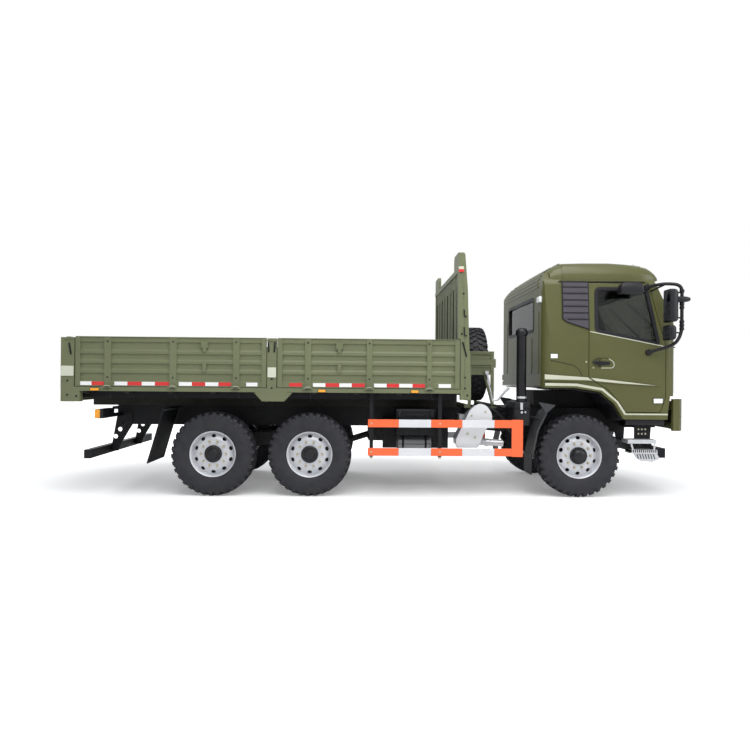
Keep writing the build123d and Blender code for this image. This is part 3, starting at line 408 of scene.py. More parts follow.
def soften_edges(piece, width, segments=2):
    """A bevel on every edge that is sharper than the edge angle."""
    soften = piece.modifiers.new("soft_edges", "BEVEL")
    soften.width = width
    soften.segments = segments
    soften.limit_method = "ANGLE"
    soften.angle_limit = EDGE_ANGLE


def finish_node(name, material):
    """Gives a CAD node its material and soft edges; its mesh stays as it is."""
    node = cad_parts[name]
    node.data.materials.clear()
    node.data.materials.append(material)
    if material is not WINDOW:
        soften_edges(node, EDGE_WIDTH)


for material, names in NODE_FINISH:
    for node_name in names:
        finish_node(node_name, material)

# %% [markdown]
# ## A small mesh builder
# Most added pieces are bars, plates, turned forms and bent tubes. This builder collects points and
# faces in the frame's own coordinates and makes one joined mesh, which keeps repeated small
# things, such as bolts, cheap.

# %% The mesh builder
def frame_axes(direction):
    """A direction as a unit vector, and two more at right angles to it and to each other."""
    forward = Vector(direction).normalized()
    helper = Vector((0, 0, 1)) if abs(forward.z) < 0.9 else Vector((1, 0, 0))
    across = forward.cross(helper).normalized()
    return forward, across, forward.cross(across)


def circle(steps):
    """The cosine and sine of turns evenly spaced round a circle."""
    turns = (2 * math.pi * step / steps for step in range(steps))
    return [(math.cos(turn), math.sin(turn)) for turn in turns]


class Shape:
    """Points and faces that become one piece."""

    def __init__(self):
        self.points, self.faces = [], []

    def add(self, points, faces):
        start = len(self.points)
        self.points.extend(Vector(point) for point in points)
        self.faces.extend(tuple(start + corner for corner in face) for face in faces)

    def bar(self, x_range, y_range, z_range):
        points = [(x, y, z) for x in x_range for y in y_range for z in z_range]
        self.add(points, ((0, 1, 3, 2), (4, 6, 7, 5), (0, 4, 5, 1), (2, 3, 7, 6), (0, 2, 6, 4), (1, 5, 7, 3)))

    def slab(self, near, far):
        """Two outlines with as many points each, joined along their edges."""
        count = len(near)
        sides = [(i, (i + 1) % count, count + (i + 1) % count, count + i) for i in range(count)]
        self.add([*near, *far], [tuple(reversed(range(count))), tuple(range(count, 2 * count)), *sides])

    def plate(self, outline, offset):
        """A flat outline of 3-D points, pushed along an offset vector."""
        self.slab(outline, [Vector(point) + Vector(offset) for point in outline])

    def rings(self, rings, closed_ends=True):
        """Loops of equal counts joined one after another."""
        count = len(rings[0])
        points = [point for ring in rings for point in ring]
        faces = [(row * count + i, row * count + (i + 1) % count,
                  (row + 1) * count + (i + 1) % count, (row + 1) * count + i)
                 for row in range(len(rings) - 1) for i in range(count)]
        if closed_ends:
            last = (len(rings) - 1) * count
            faces += [tuple(reversed(range(count))), tuple(range(last, last + count))]
        self.add(points, faces)

    def turned(self, centre, axis, profile, steps=48, closed_ends=True):
        """A turned form: the profile lists (distance along the axis, radius)."""
        forward, across, over = frame_axes(axis)
        centre = Vector(centre)
        self.rings([[centre + forward * along + (across * c + over * s) * radius for c, s in circle(steps)]
                    for along, radius in profile], closed_ends)

    def tube(self, path, radius, steps=12):
        """A round tube along a list of points."""
        path = [Vector(point) for point in path]
        loops, across = [], None
        for index, point in enumerate(path):
            before, after = path[max(index - 1, 0)], path[min(index + 1, len(path) - 1)]
            forward = (after - before).normalized()
            if across is None:
                across = frame_axes(forward)[1]
            across = (across - forward * across.dot(forward)).normalized()
            over = forward.cross(across)
            loops.append([point + (across * c + over * s) * radius for c, s in circle(steps)])
        self.rings(loops)

    def make(self, name, material, body, bevel=0.0, segments=2, smooth=40):
        """One piece of the collected points, riding on a body."""
        mesh = bpy.data.meshes.new(name)
        mesh.from_pydata(self.points, [], self.faces)
        mesh.materials.append(material)
        piece = add_object(name, mesh)
        shell = bmesh.new()
        shell.from_mesh(mesh)
        bmesh.ops.recalc_face_normals(shell, faces=shell.faces)
        shell.to_mesh(mesh)
        shell.free()
        if bevel:
            soften_edges(piece, bevel, segments)
        smooth_mesh(mesh, smooth)
        if body:
            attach(piece, body)
        return piece


def smooth_mesh(mesh, angle):
    """Smooth shading with edges kept sharp above an angle in degrees."""
    mesh.polygons.foreach_set("use_smooth", [True] * len(mesh.polygons))
    mesh.set_sharp_from_angle(angle=math.radians(angle))


def round_corners(points, radius, steps=4):
    """A path of 3-D points whose inner corners are rounded."""
    points = [Vector(point) for point in points]
    path = [points[0]]
    for before, corner, after in zip(points, points[1:], points[2:]):
        start = corner + (before - corner).normalized() * min(radius, (before - corner).length * 0.45)
        end = corner + (after - corner).normalized() * min(radius, (after - corner).length * 0.45)
        for step in range(steps + 1):
            share = step / steps
            path.append(start.lerp(corner, share).lerp(corner.lerp(end, share), share))
    return [*path, points[-1]]


# %% [markdown]
# ## Tyres
# Cross-country tyres have heavy shoulder lugs and a broken centre pattern. A turned carcass gives
# the side walls, and each lug is a block laid on the tread, repeated round the tyre. All seven
# tyres share the same form, placed by the CAD node that each one replaces.

# %% Tyre form
LUG_COUNT = 34
# Columns: half width, radius from the tread's middle round to the bead
CARCASS_PROFILE = ((0.0, 0.524), (0.060, 0.523), (0.105, 0.519), (0.126, 0.510), (0.1385, 0.490),
                   (0.1455, 0.462), (0.1495, 0.430), (0.1495, 0.398), (0.146, 0.365), (0.139, 0.335),
                   (0.131, 0.314), (0.127, 0.306), (0.1245, 0.297), (0.119, 0.293))


def ring_point(angle, across, radius):
    """A point of a wheel about the Y axis."""
    return Vector((radius * math.cos(angle), across, radius * math.sin(angle)))


def tyre_shape():
    shape = Shape()
    profile = [(-half, radius) for half, radius in reversed(CARCASS_PROFILE)]
    profile += [(half, radius) for half, radius in CARCASS_PROFILE[1:]]
    shape.turned((0, 0, 0), (0, 1, 0), profile, steps=102, closed_ends=False)
    pitch = 2 * math.pi / LUG_COUNT
    for lug in range(LUG_COUNT):
        for hand in (-1, 1):
            start = (lug + (0.5 if hand > 0 else 0.0)) * pitch
            add_lug(shape, start, hand, pitch)
    return shape


# Columns: half width, foot radius, top radius, share of the pitch at the start and the end
SHOULDER_LUG = ((0.1440, 0.462, 0.468, 0.10, 0.56), (0.1485, 0.478, 0.488, 0.10, 0.56),
                (0.1410, 0.500, 0.5150, 0.08, 0.58), (0.1290, 0.510, 0.5330, 0.06, 0.60),
                (0.1080, 0.516, 0.5405, 0.04, 0.62), (0.0700, 0.520, 0.5425, 0.06, 0.60))
CENTRE_LUG = ((0.0640, 0.520, 0.5420, 0.30, 0.86), (0.0340, 0.521, 0.5425, 0.42, 1.04),
              (0.0060, 0.521, 0.5425, 0.58, 1.12))


def add_lug(shape, start, hand, pitch):
    """One shoulder lug and one centre block of the tread."""
    for rows in (SHOULDER_LUG, CENTRE_LUG):
        loops = []
        for half, foot, top, low, high in rows:
            taper = 0.012 * pitch
            corners = ((start + low * pitch, foot), (start + (low + 0.03) * pitch, top),
                       (start + (high - 0.03) * pitch, top), (start + high * pitch, foot))
            loops.append([ring_point(angle - taper, hand * half, radius) for angle, radius in corners])
        shape.rings(loops)


TYRE_MESH = tyre_shape().make("tyre_form", TYRE_RUBBER, None, smooth=35).data
print("tyre faces", len(TYRE_MESH.polygons))

# %% [markdown]
# ## Rims and hubs
# Each rim is one turned form with a closed section: a barrel with a lip at both ends, a cone and a
# flat disc. Ten oval hand holes are cut through the cone by a boolean. Nuts stand on the flat. The
# driven rear hubs are flat flanges, while the front hubs have domed caps.

# %% Rim, hub and nut forms
# Columns: distance along the axle from the wheel's middle, radius; the outer side comes first
RIM_PROFILE = ((-0.1245, 0.2975), (-0.1315, 0.2970), (-0.1320, 0.2920), (-0.1280, 0.2860), (-0.1180, 0.2800),
               (-0.1060, 0.2760), (-0.0800, 0.2720), (-0.0560, 0.2700), (-0.0520, 0.2660), (-0.0620, 0.2500),
               (-0.0780, 0.2120), (-0.0840, 0.2000), (-0.0870, 0.1900), (-0.0870, 0.1040), (-0.0730, 0.1040),
               (-0.0730, 0.1900), (-0.0620, 0.2140), (-0.0400, 0.2690), (0.1260, 0.2720), (0.1300, 0.2860),
               (0.1300, 0.2970), (0.1240, 0.2975), (0.1200, 0.2860), (-0.1180, 0.2860))
HAND_HOLE_COUNT = 10
HAND_HOLE_RADIUS = 0.2335
HAND_HOLE_HALF = (0.0290, 0.0225)
HAND_HOLE_STEPS = 20
CUTTER_DEPTHS = (-0.16, 0.0)
WELD_DISTANCE = 1e-6
NUT_COUNT, NUT_CIRCLE = 10, 0.163
FRONT_HUB_PROFILE = ((-0.086, 0.1120), (-0.112, 0.1120), (-0.116, 0.1090), (-0.118, 0.0900),
                     (-0.134, 0.0870), (-0.140, 0.0830), (-0.152, 0.0760), (-0.163, 0.0600),
                     (-0.1695, 0.0350), (-0.1715, 0.0010))
REAR_HUB_PROFILE = ((-0.086, 0.1120), (-0.108, 0.1120), (-0.112, 0.1090), (-0.1135, 0.1000),
                    (-0.1170, 0.0970), (-0.1190, 0.0720), (-0.1330, 0.0640), (-0.1385, 0.0580),
                    (-0.1395, 0.0300), (-0.1395, 0.0010))


def ring_angle(index, count, offset=0.0):
    return 2 * math.pi * (index + offset) / count - math.pi / 2


def oval_prism(shape, centre_angle):
    """An oval cutter along the axle, its long side set round the wheel."""
    radial = Vector((math.cos(centre_angle), 0, math.sin(centre_angle)))
    along = Vector((-math.sin(centre_angle), 0, math.cos(centre_angle)))
    loops = []
    for depth in CUTTER_DEPTHS:
        loops.append([radial * (HAND_HOLE_RADIUS + HAND_HOLE_HALF[1] * s) + along * HAND_HOLE_HALF[0] * c
                      + Vector((0, depth, 0)) for c, s in circle(HAND_HOLE_STEPS)])
    shape.rings(loops)


def rim_mesh():
    """The turned rim with its hand holes cut."""
    rim = Shape()
    rim.turned((0, 0, 0), (0, 1, 0), [*RIM_PROFILE, RIM_PROFILE[0]], steps=80, closed_ends=False)
    cutter = Shape()
    for hole in range(HAND_HOLE_COUNT):
        oval_prism(cutter, ring_angle(hole, HAND_HOLE_COUNT))
    rim_object = rim.make("rim_blank", RIM_SILVER, None)
    cutter_object = cutter.make("rim_cutter", RIM_SILVER, None)
    for piece in (rim_object, cutter_object):
        weld = bmesh.new()
        weld.from_mesh(piece.data)
        bmesh.ops.remove_doubles(weld, verts=weld.verts, dist=WELD_DISTANCE)
        bmesh.ops.recalc_face_normals(weld, faces=weld.faces)
        weld.to_mesh(piece.data)
        weld.free()
    cut = rim_object.modifiers.new("hand_holes", "BOOLEAN")
    cut.operation = "DIFFERENCE"
    cut.solver = "EXACT"
    cut.object = cutter_object
    bpy.context.view_layer.update()
    graph = bpy.context.evaluated_depsgraph_get()
    finished = bpy.data.meshes.new_from_object(rim_object.evaluated_get(graph))
    bpy.data.objects.remove(rim_object)
    bpy.data.objects.remove(cutter_object)
    smooth_mesh(finished, 30)
    return finished


def nuts_shape():
    """Ten wheel nuts with their washers and stud ends."""
    shape = Shape()
    for nut in range(NUT_COUNT):
        centre = ring_point(ring_angle(nut, NUT_COUNT, 0.5), 0, NUT_CIRCLE)
        shape.turned(centre, (0, -1, 0), ((0.085, 0.0190), (0.0895, 0.0185)), steps=16)
        shape.turned(centre, (0, -1, 0), ((0.0880, 0.0160), (0.1060, 0.0160), (0.1085, 0.0140)), steps=6)
        shape.turned(centre, (0, -1, 0), ((0.1070, 0.0095), (0.1180, 0.0090)), steps=10)
    return shape


def hub_shape(profile, bolt_count, bolt_circle, bolt_depth):
    """A turned hub with a ring of bolts on its face."""
    shape = Shape()
    shape.turned((0, 0, 0), (0, 1, 0), profile, steps=48)
    for bolt in range(bolt_count):
        centre = ring_point(ring_angle(bolt, bolt_count), 0, bolt_circle)
        bolt_profile = ((bolt_depth - 0.004, 0.0075), (bolt_depth + 0.007, 0.0070))
        shape.turned(centre, (0, -1, 0), bolt_profile, steps=6)
    return shape


RIM_MESH = rim_mesh()
NUTS_MESH = nuts_shape().make("nuts_form", NUT_STEEL, None).data
FRONT_HUB_MESH = hub_shape(FRONT_HUB_PROFILE, 8, 0.1005, 0.117).make("front_hub_form", HUB_BLACK, None).data
REAR_HUB_MESH = hub_shape(REAR_HUB_PROFILE, 10, 0.0845, 0.118).make("rear_hub_form", HUB_BLACK, None).data
for form in ("tyre_form", "nuts_form", "front_hub_form", "rear_hub_form"):
    bpy.data.objects.remove(bpy.data.objects[form])
print("rim faces", len(RIM_MESH.polygons))

# %% Wheels set in place
# Columns: name of the wheel, turn about the vertical, hub
WHEELS = [(f"{axle}_{hand}", turn, hub)
          for axle, hub in (("front", FRONT_HUB_MESH), ("middle", REAR_HUB_MESH), ("rear", REAR_HUB_MESH))
          for hand, turn in (("right", 0.0), ("left", math.pi))]
BRAKE_SHIELD_REACH, BRAKE_SHIELD_RADIUS = (0.988, 0.994), 0.258
SPARE_TURN = -math.pi / 2


def place(mesh, name, centre, turn, body):
    """A shared form set at a wheel's centre."""
    piece = add_object(name, mesh)
    piece.matrix_world = Matrix.Translation(centre) @ Matrix.Rotation(turn, 4, "Z")
    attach(piece, body)
    return piece


def node_middle(name):
    low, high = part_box(name)
    return (low + high) / 2


for wheel, turn, hub in WHEELS:
    middle = node_middle(f"tyre_{wheel}")
    body = f"wheel_{wheel}"
    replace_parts(place(TYRE_MESH, f"dressed_tyre_{wheel}", middle, turn, body), f"tyre_{wheel}")
    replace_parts(place(RIM_MESH, f"dressed_rim_{wheel}", middle, turn, body), f"rim_{wheel}")
    place(NUTS_MESH, f"nuts_{wheel}", middle, turn, body)
    place(hub, f"hub_{wheel}", middle, turn, body)
# Brake shields close the view through the hand holes
for wheel, _, _ in WHEELS:
    middle = node_middle(f"tyre_{wheel}")
    axle, hand = wheel.split("_")
    carrier = f"knuckle_{hand}" if axle == "front" else "chassis"
    shield = Shape()
    shield.turned((middle.x, 0, middle.z), (0, math.copysign(1, middle.y), 0),
                  [(reach, BRAKE_SHIELD_RADIUS) for reach in BRAKE_SHIELD_REACH], steps=40)
    shield.make(f"brake_shield_{wheel}", HUB_BLACK, carrier)
spare_middle = node_middle("spare_tyre")
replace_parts(place(TYRE_MESH, "dressed_spare_tyre", spare_middle, SPARE_TURN, "chassis"), "spare_tyre")
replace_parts(place(RIM_MESH, "dressed_spare_rim", spare_middle, SPARE_TURN, "chassis"), "spare_rim")
print("wheels placed:", len(WHEELS) + 1)

# %% [markdown]
# ## Trim that follows a surface
# The cab's side leans in above the waist, and its front curves back at the corners. Seals, trim
# lines and mouldings are drawn on such a surface in flat coordinates, and a small function says
# where each flat point lies in space and how far it stands out.

# %% Surfaces, strips and plates
SIDES = (("right", -1), ("left", 1))
CAB_HALF = 1.170
LEAN_START, LEAN = 2.05, 0.0744
CAB_REAR = 2.128
# Columns: distance from the middle, furthest forward x of the cab at that distance
FRONT_CURVE = ((0.0, 3.998), (0.300, 3.998), (0.760, 3.975), (1.170, 3.858))
SCREEN_FOOT, SCREEN_LEAN = (3.998, 1.990), 0.4515


def span(side, low, high):
    """A y range given for the left side, moved to the named side."""
    return tuple(sorted((side * low, side * high)))


def on_side(side):
    """Places (x, z) on the cab's side skin."""
    return lambda u, v, out: Vector((u, side * (CAB_HALF - max(0.0, v - LEAN_START) * LEAN + out), v))


def on_flat_side(side, y):
    """Places (x, z) on an upright plane beside the truck."""
    return lambda u, v, out: Vector((u, side * (y + out), v))


def on_cab_rear(u, v, out):
    """Places (y, z) on the cab's rear wall."""
    return Vector((CAB_REAR - out, u, v))


def on_cab_front(u, v, out):
    """Places (y, z) on the cab's curved front and leaning windscreen."""
    rows = list(zip(FRONT_CURVE, FRONT_CURVE[1:]))
    near, far = next((pair for pair in rows if abs(u) <= pair[1][0]), rows[-1])
    curve_x = near[1] + (far[1] - near[1]) * (abs(u) - near[0]) / (far[0] - near[0])
    lean = SCREEN_LEAN if v > SCREEN_FOOT[1] else 0.0
    return Vector((min(curve_x, SCREEN_FOOT[0] - (v - SCREEN_FOOT[1]) * lean) + out, u, v))


def skin_of(shape, *names):
    """A search tree over the faces of a shape and of CAD nodes, in the frame's coordinates."""
    points, faces = list(shape.points), list(shape.faces)
    for name in names:
        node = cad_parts[name]
        faces += [tuple(len(points) + corner for corner in face.vertices) for face in node.data.polygons]
        points += [node.matrix_world @ vertex.co for vertex in node.data.vertices]
    return BVHTree.FromPolygons(points, faces)


def skin_line(shape, skin, rays, width, height):
    """A low rounded bead along the places where rays meet a skin."""
    hits = [skin.ray_cast(Vector(start), Vector(heading)) for start, heading in rays]
    hits = [(place, normal) for place, normal, _, _ in hits if place is not None]
    loops = []
    for index, (place, normal) in enumerate(hits):
        before, after = hits[max(index - 1, 0)][0], hits[min(index + 1, len(hits) - 1)][0]
        across = (after - before).cross(normal).normalized()
        # Columns: share of the half width, share of the height
        loops.append([place + across * width / 2 * side + normal * (height * rise - 0.002 * (rise == 0))
                      for side, rise in ((-1, 0), (-0.6, 0.7), (0, 1), (0.6, 0.7), (1, 0))])
    shape.rings(loops)


def rounded_loop(points, radius, steps=5):
    """A closed flat outline with circular corners."""
    points = [Vector(point) for point in points]
    loop = []
    for index, corner in enumerate(points):
        before, after = points[index - 1], points[(index + 1) % len(points)]
        reach = min(radius, (before - corner).length * 0.49, (after - corner).length * 0.49)
        start = corner + (before - corner).normalized() * reach
        end = corner + (after - corner).normalized() * reach
        for step in range(steps + 1):
            share = step / steps
            loop.append(start.lerp(corner, share).lerp(corner.lerp(end, share), share))
    return loop


def round_flat(points, radius):
    """An open flat path with rounded corners."""
    return [Vector((point.x, point.y)) for point in round_corners([(u, v, 0) for u, v in points], radius)]


def strip(shape, path, width, out, where, closed=False, depth=0.002):
    """A raised band of even width along a flat path, laid on a surface."""
    path = [Vector(point) for point in path]
    count = len(path)
    loops = []
    for index, point in enumerate(path):
        before = path[index - 1] if closed or index else None
        after = path[(index + 1) % count] if closed or index < count - 1 else None
        lead = (point - before).normalized() if before is not None else (after - point).normalized()
        leave = (after - point).normalized() if after is not None else lead
        normal = Vector((-(lead.y + leave.y), lead.x + leave.x)).normalized()
        reach = normal * width / 2 / max(0.5, normal.dot(Vector((-lead.y, lead.x))))
        low, high = point - reach, point + reach
        loops.append([where(low.x, low.y, -depth), where(low.x, low.y, out),
                      where(high.x, high.y, out), where(high.x, high.y, -depth)])
    if closed:
        loops.append(loops[0])
    shape.rings(loops, closed_ends=not closed)


def surface_plate(shape, outline, out, where, depth=0.002):
    """A flat outline laid on a surface as a thin raised plate."""
    shape.slab([where(u, v, -depth) for u, v in outline], [where(u, v, out) for u, v in outline])


def disc(shape, centre, axis, radius, height, steps=20):
    """A short round pin that stands on a point, such as a bolt head or a lamp."""
    profile = ((-0.003, radius), (height * 0.7, radius), (height, radius * 0.86))
    shape.turned(centre, axis, profile, steps=steps)


def at_heights(outline, heights):
    """A flat outline of (x, y) points, repeated at each height."""
    return [[(point.x, point.y, height) for point in outline] for height in heights]


# %% Pieces made of equal parts
def bars(name, material, body, *boxes, **finish):
    """One piece made of bars, each given by its x, y and z ranges."""
    shape = Shape()
    for box in boxes:
        shape.bar(*box)
    return shape.make(name, material, body, **finish)


def patches(name, material, body, outlines, out, where, **finish):
    """One piece made of thin raised plates on a surface."""
    shape = Shape()
    for outline in outlines:
        surface_plate(shape, outline, out, where)
    return shape.make(name, material, body, **finish)


def pins(name, material, body, centres, axis, radius, height, steps=20):
    """One piece made of equal discs, such as a row of bolt heads."""
    shape = Shape()
    for centre in centres:
        disc(shape, centre, axis, radius, height, steps)
    return shape.make(name, material, body)


print("surfaces ready for", [hand for hand, _ in SIDES])

# %% [markdown]
# ## Cab sides
# The pale colour of the mouldings is a painted highlight, the light that they catch. The door window has
# a black rubber seal with round corners, and the pale line under it is a painted highlight too. The dark
# lines in the louvre field, in the crease behind the door and under the drip rail are painted shade.

# %% Mouldings, seals, handles and small lamps of the cab
# Columns: outline (x, z) of the mouldings behind the door, and on it, pale with a painted highlight
REAR_MOULDING = ((2.142, 1.545), (2.142, 1.610), (2.716, 1.574), (2.722, 1.562), (2.772, 1.533),
                 (2.712, 1.536))
ARCH_MOULDING = ((2.148, 1.462), (2.560, 1.458), (2.893, 1.404), (3.083, 1.254), (3.190, 1.088),
                 (3.757, 1.088), (3.764, 1.109), (3.212, 1.109), (3.111, 1.262), (2.906, 1.436),
                 (2.560, 1.493), (2.148, 1.499))
DOOR_MOULDING = ((2.742, 1.570), (3.131, 1.529), (3.640, 1.471), (3.131, 1.499), (2.812, 1.528))
DOOR_WINDOW = ((2.821, 2.187), (3.632, 2.025), (3.632, 2.060), (3.500, 2.740), (2.830, 2.740))
BELT_LINE = ((2.742, 2.172), (3.240, 2.078), (3.722, 1.985))
# The dark line along the crease is painted shade
CREASE_SHADE = ((2.225, 1.792), (2.380, 1.762), (2.539, 1.722), (2.595, 1.672), (2.640, 1.590))
HANDLE_BAR = ((2.762, 1.768), (2.790, 1.794), (2.990, 1.782), (3.010, 1.764), (2.990, 1.740), (2.880, 1.732))
HANDLE_CUP = ((2.872, 1.700), (3.050, 1.700), (3.058, 1.770), (2.960, 1.826), (2.872, 1.822))
HANDLE_RIM = ((2.985, 1.818), (3.058, 1.775), (3.052, 1.700), (2.885, 1.698))
# Heights of the painted shade lines in the louvre grooves; next, the painted shade round the louvre field
LOUVRE_GROOVE_SHADES = (2.330, 2.415, 2.500, 2.585, 2.670, 2.755)
LOUVRE_EDGE = ((2.383, 2.822), (2.724, 2.822), (2.724, 2.203), (2.440, 2.296), (2.383, 2.338))
# Outlines (x, z) of the small plates on the cab's side and on the door
REFLECTOR = ((2.223, 1.821), (2.311, 1.821), (2.311, 1.875), (2.223, 1.875))
DOOR_MARKER = ((3.577, 1.244), (3.694, 1.244), (3.697, 1.304), (3.577, 1.304))
MARKER_BASE = ((3.568, 1.236), (3.702, 1.236), (3.706, 1.313), (3.568, 1.313))
DOOR_CARD = ((2.760, 1.600), (3.300, 1.190), (3.640, 1.190), (3.690, 1.960), (2.760, 2.100))
DOOR_CARD_IN = 0.062
print("louvre grooves", len(LOUVRE_GROOVE_SHADES))

# %% Roof moulding
# Columns: distance from the middle, height of the cap's section where it is highest
CAP_SECTION = ((1.090, 2.850), (1.089, 2.930), (1.080, 2.985), (1.052, 3.040), (1.002, 3.084), (0.930, 3.108),
               (0.800, 3.117), (0.400, 3.123), (0.0, 3.125))
CAP_FOOT, CAP_TOP = 2.850, 3.117
# Columns: x, height of the top, height of the foot, how much narrower it is
CAP_STATIONS = ((2.235, 2.985, 2.850, 0.012), (2.262, 3.020, 2.850, 0.006), (2.300, 3.050, 2.850, 0.004),
                (2.357, 3.071, 2.850, 0.004), (2.396, 3.078, 2.850, 0.004), (2.404, 3.096, 2.850, 0.001),
                (2.438, 3.103, 2.850, 0.0), (2.709, 3.113, 2.850, 0.0), (3.063, 3.117, 2.850, 0.0),
                (3.281, 3.104, 2.850, 0.0), (3.444, 3.088, 2.850, 0.004), (3.554, 3.062, 2.850, 0.016),
                (3.620, 3.026, 2.850, 0.034), (3.668, 2.985, 2.858, 0.060), (3.698, 2.940, 2.872, 0.090))


def roof_cap():
    """The raised roof moulding, from the rear crown to the brow above the windscreen."""
    cap = Shape()
    rings = []
    for x, top, foot, narrow in CAP_STATIONS:
        share = (top - foot) / (CAP_TOP - CAP_FOOT)
        heights = [foot + (z - CAP_FOOT) * share for _, z in CAP_SECTION]
        right = [Vector((x, -max(0.0, y - narrow), z)) for (y, _), z in zip(CAP_SECTION, heights)]
        left = [Vector((x, -point.y, point.z)) for point in reversed(right[:-1])]
        rings.append([*right, *left])
    cap.rings(rings)
    return cap


ROOF_CAP = roof_cap()
ROOF_SKIN = skin_of(ROOF_CAP, "cab_roof", "cab_shell")
ROOF_CAP.make("roof_cap", CAB_PAINT, "cab", smooth=32)
CAP_SEAM_X = 2.405
SEAM_HEIGHTS = [2.860 + 0.015 * step for step in range(12)]
print("roof moulding faces", len(ROOF_CAP.faces))

# %% Cab side and door pieces
def dress_cab_side(hand, side):
    where = on_side(side)
    # The pale colour of these mouldings is a painted highlight
    patches(f"cab_moulding_{hand}", MOULDING_HIGHLIGHT, "cab", (REAR_MOULDING, ARCH_MOULDING), 0.0135, where,
            bevel=0.003)
    # Dark lines of painted shade: in the crease, round the louvre field, under the drip rail and in the
    # louvre grooves
    lines = Shape()
    strip(lines, CREASE_SHADE, 0.008, 0.0012, where)
    strip(lines, LOUVRE_EDGE, 0.010, 0.0150, where, closed=True)
    strip(lines, ((2.345, 2.836), (3.475, 2.836)), 0.006, 0.0200, where)
    for groove_shade_z in LOUVRE_GROOVE_SHADES:
        rear_x = 2.387 if groove_shade_z > 2.340 else 2.440
        strip(lines, ((rear_x + 0.004, groove_shade_z), (2.718, groove_shade_z)), 0.016, 0.0160, where)
    lines.make(f"cab_lines_{hand}", HUB_BLACK, "cab")
    patches(f"cab_reflector_{hand}", CLEAR_LENS, "cab", (REFLECTOR,), 0.006, where, bevel=0.002)
    pins(f"cab_latch_button_{hand}", NUT_STEEL, "cab", (where(2.690, 1.775, 0),), (0, side, 0), 0.013, 0.007)
    roof_z = ROOF_SKIN.ray_cast(Vector((3.452, side * 0.900, 4.0)), Vector((0, 0, -1)))[0].z
    bars(f"roof_marker_{hand}", CLEAR_LENS, "cab",
         ((3.410, 3.495), span(side, 0.850, 0.950), (roof_z - 0.015, roof_z + 0.028)),
         bevel=0.012, segments=3)
    seam = Shape()
    rays = [((CAP_SEAM_X, side * 2.0, z), (0, -side, 0)) for z in SEAM_HEIGHTS]
    skin_line(seam, ROOF_SKIN, rays, 0.022, 0.007)
    seam.make(f"roof_cap_seam_{hand}", CAB_PAINT, "cab", smooth=50)


def dress_door(hand, side):
    body = f"door_{hand}"
    where = on_side(side)
    seal = Shape()
    strip(seal, rounded_loop(DOOR_WINDOW, 0.055), 0.044, 0.004, where, closed=True, depth=0.034)
    seal.make(f"window_seal_{hand}", PLASTIC, body)
    # The pale moulding and belt line are a painted highlight
    pale = Shape()
    surface_plate(pale, DOOR_MOULDING, 0.0135, where)
    strip(pale, BELT_LINE, 0.012, 0.006, where)
    pale.make(f"door_moulding_{hand}", MOULDING_HIGHLIGHT, body, bevel=0.002)
    handle = Shape()
    handle.plate([where(x, z, -0.008) for x, z in HANDLE_BAR], (0, side * 0.025, 0))
    handle.make(f"door_handle_{hand}", HUB_BLACK, body, bevel=0.007, segments=3)
    cup = Shape()
    cup_loop = rounded_loop(HANDLE_CUP, 0.045)
    surface_plate(cup, cup_loop, -0.0130, where, depth=0.0155)
    surface_plate(cup, cup_loop, 0.0012, where)
    cup.make(f"handle_cup_{hand}", CAB_PAINT, body)
    # The pale rim round the handle cup is a painted highlight
    cup_rim = Shape()
    strip(cup_rim, round_flat(HANDLE_RIM, 0.045), 0.009, 0.0030, where)
    cup_rim.make(f"handle_rim_{hand}", MOULDING_HIGHLIGHT, body, smooth=60)
    pins(f"door_key_{hand}", NUT_STEEL, body, (where(2.783, 1.700, 0),), (0, side, 0), 0.010, 0.004)
    patches(f"door_marker_{hand}", CLEAR_LENS, body, (DOOR_MARKER,), 0.011, where, bevel=0.004, segments=3)
    patches(f"door_marker_base_{hand}", PLASTIC, body, (MARKER_BASE,), 0.003, where, bevel=0.001)
    card = Shape()
    inner_y = CAB_HALF - DOOR_CARD_IN
    surface_plate(card, DOOR_CARD, 0.0, on_flat_side(side, inner_y), depth=0.010)
    card.bar((2.900, 3.350), span(side, inner_y - 0.050, inner_y - 0.008), (1.780, 1.830))
    card.make(f"door_card_{hand}", PLASTIC, body, bevel=0.004)


for hand, side in SIDES:
    dress_cab_side(hand, side)
    dress_door(hand, side)
print("cab sides dressed")

# %% [markdown]
# ## Cab rear and front
# The rear wall has a window in a black frame, and the slope above it carries pressed ribs across
# the cab. The front isn't in the picture. It has what such cabs have: a framed windscreen with
# wipers, a dark mesh behind the grille slots and plain lamps.

# %% Rear window, roof ribs, windscreen and grille
REAR_WINDOW = ((-0.700, 2.210), (0.700, 2.210), (0.700, 2.650), (-0.700, 2.650))
WINDSCREEN = ((-1.030, 2.085), (0.0, 2.085), (1.030, 2.085), (0.975, 2.770), (0.0, 2.770), (-0.975, 2.770))
CROWN_CENTRE = (2.500, 2.700)
CROWN_REACH = 0.9
RIB_COUNT = 9
RIB_ANGLES = [math.radians(168 - 8 * rib) for rib in range(RIB_COUNT)]
RIB_HALF = 0.90
# Columns: y range and z range of each pressing in the rear wall
REAR_PRESSINGS = ((-0.640, -0.060, 1.62, 2.12), (0.060, 0.640, 1.62, 2.12), (-0.960, -0.760, 1.62, 2.46),
                  (0.760, 0.960, 1.62, 2.46))

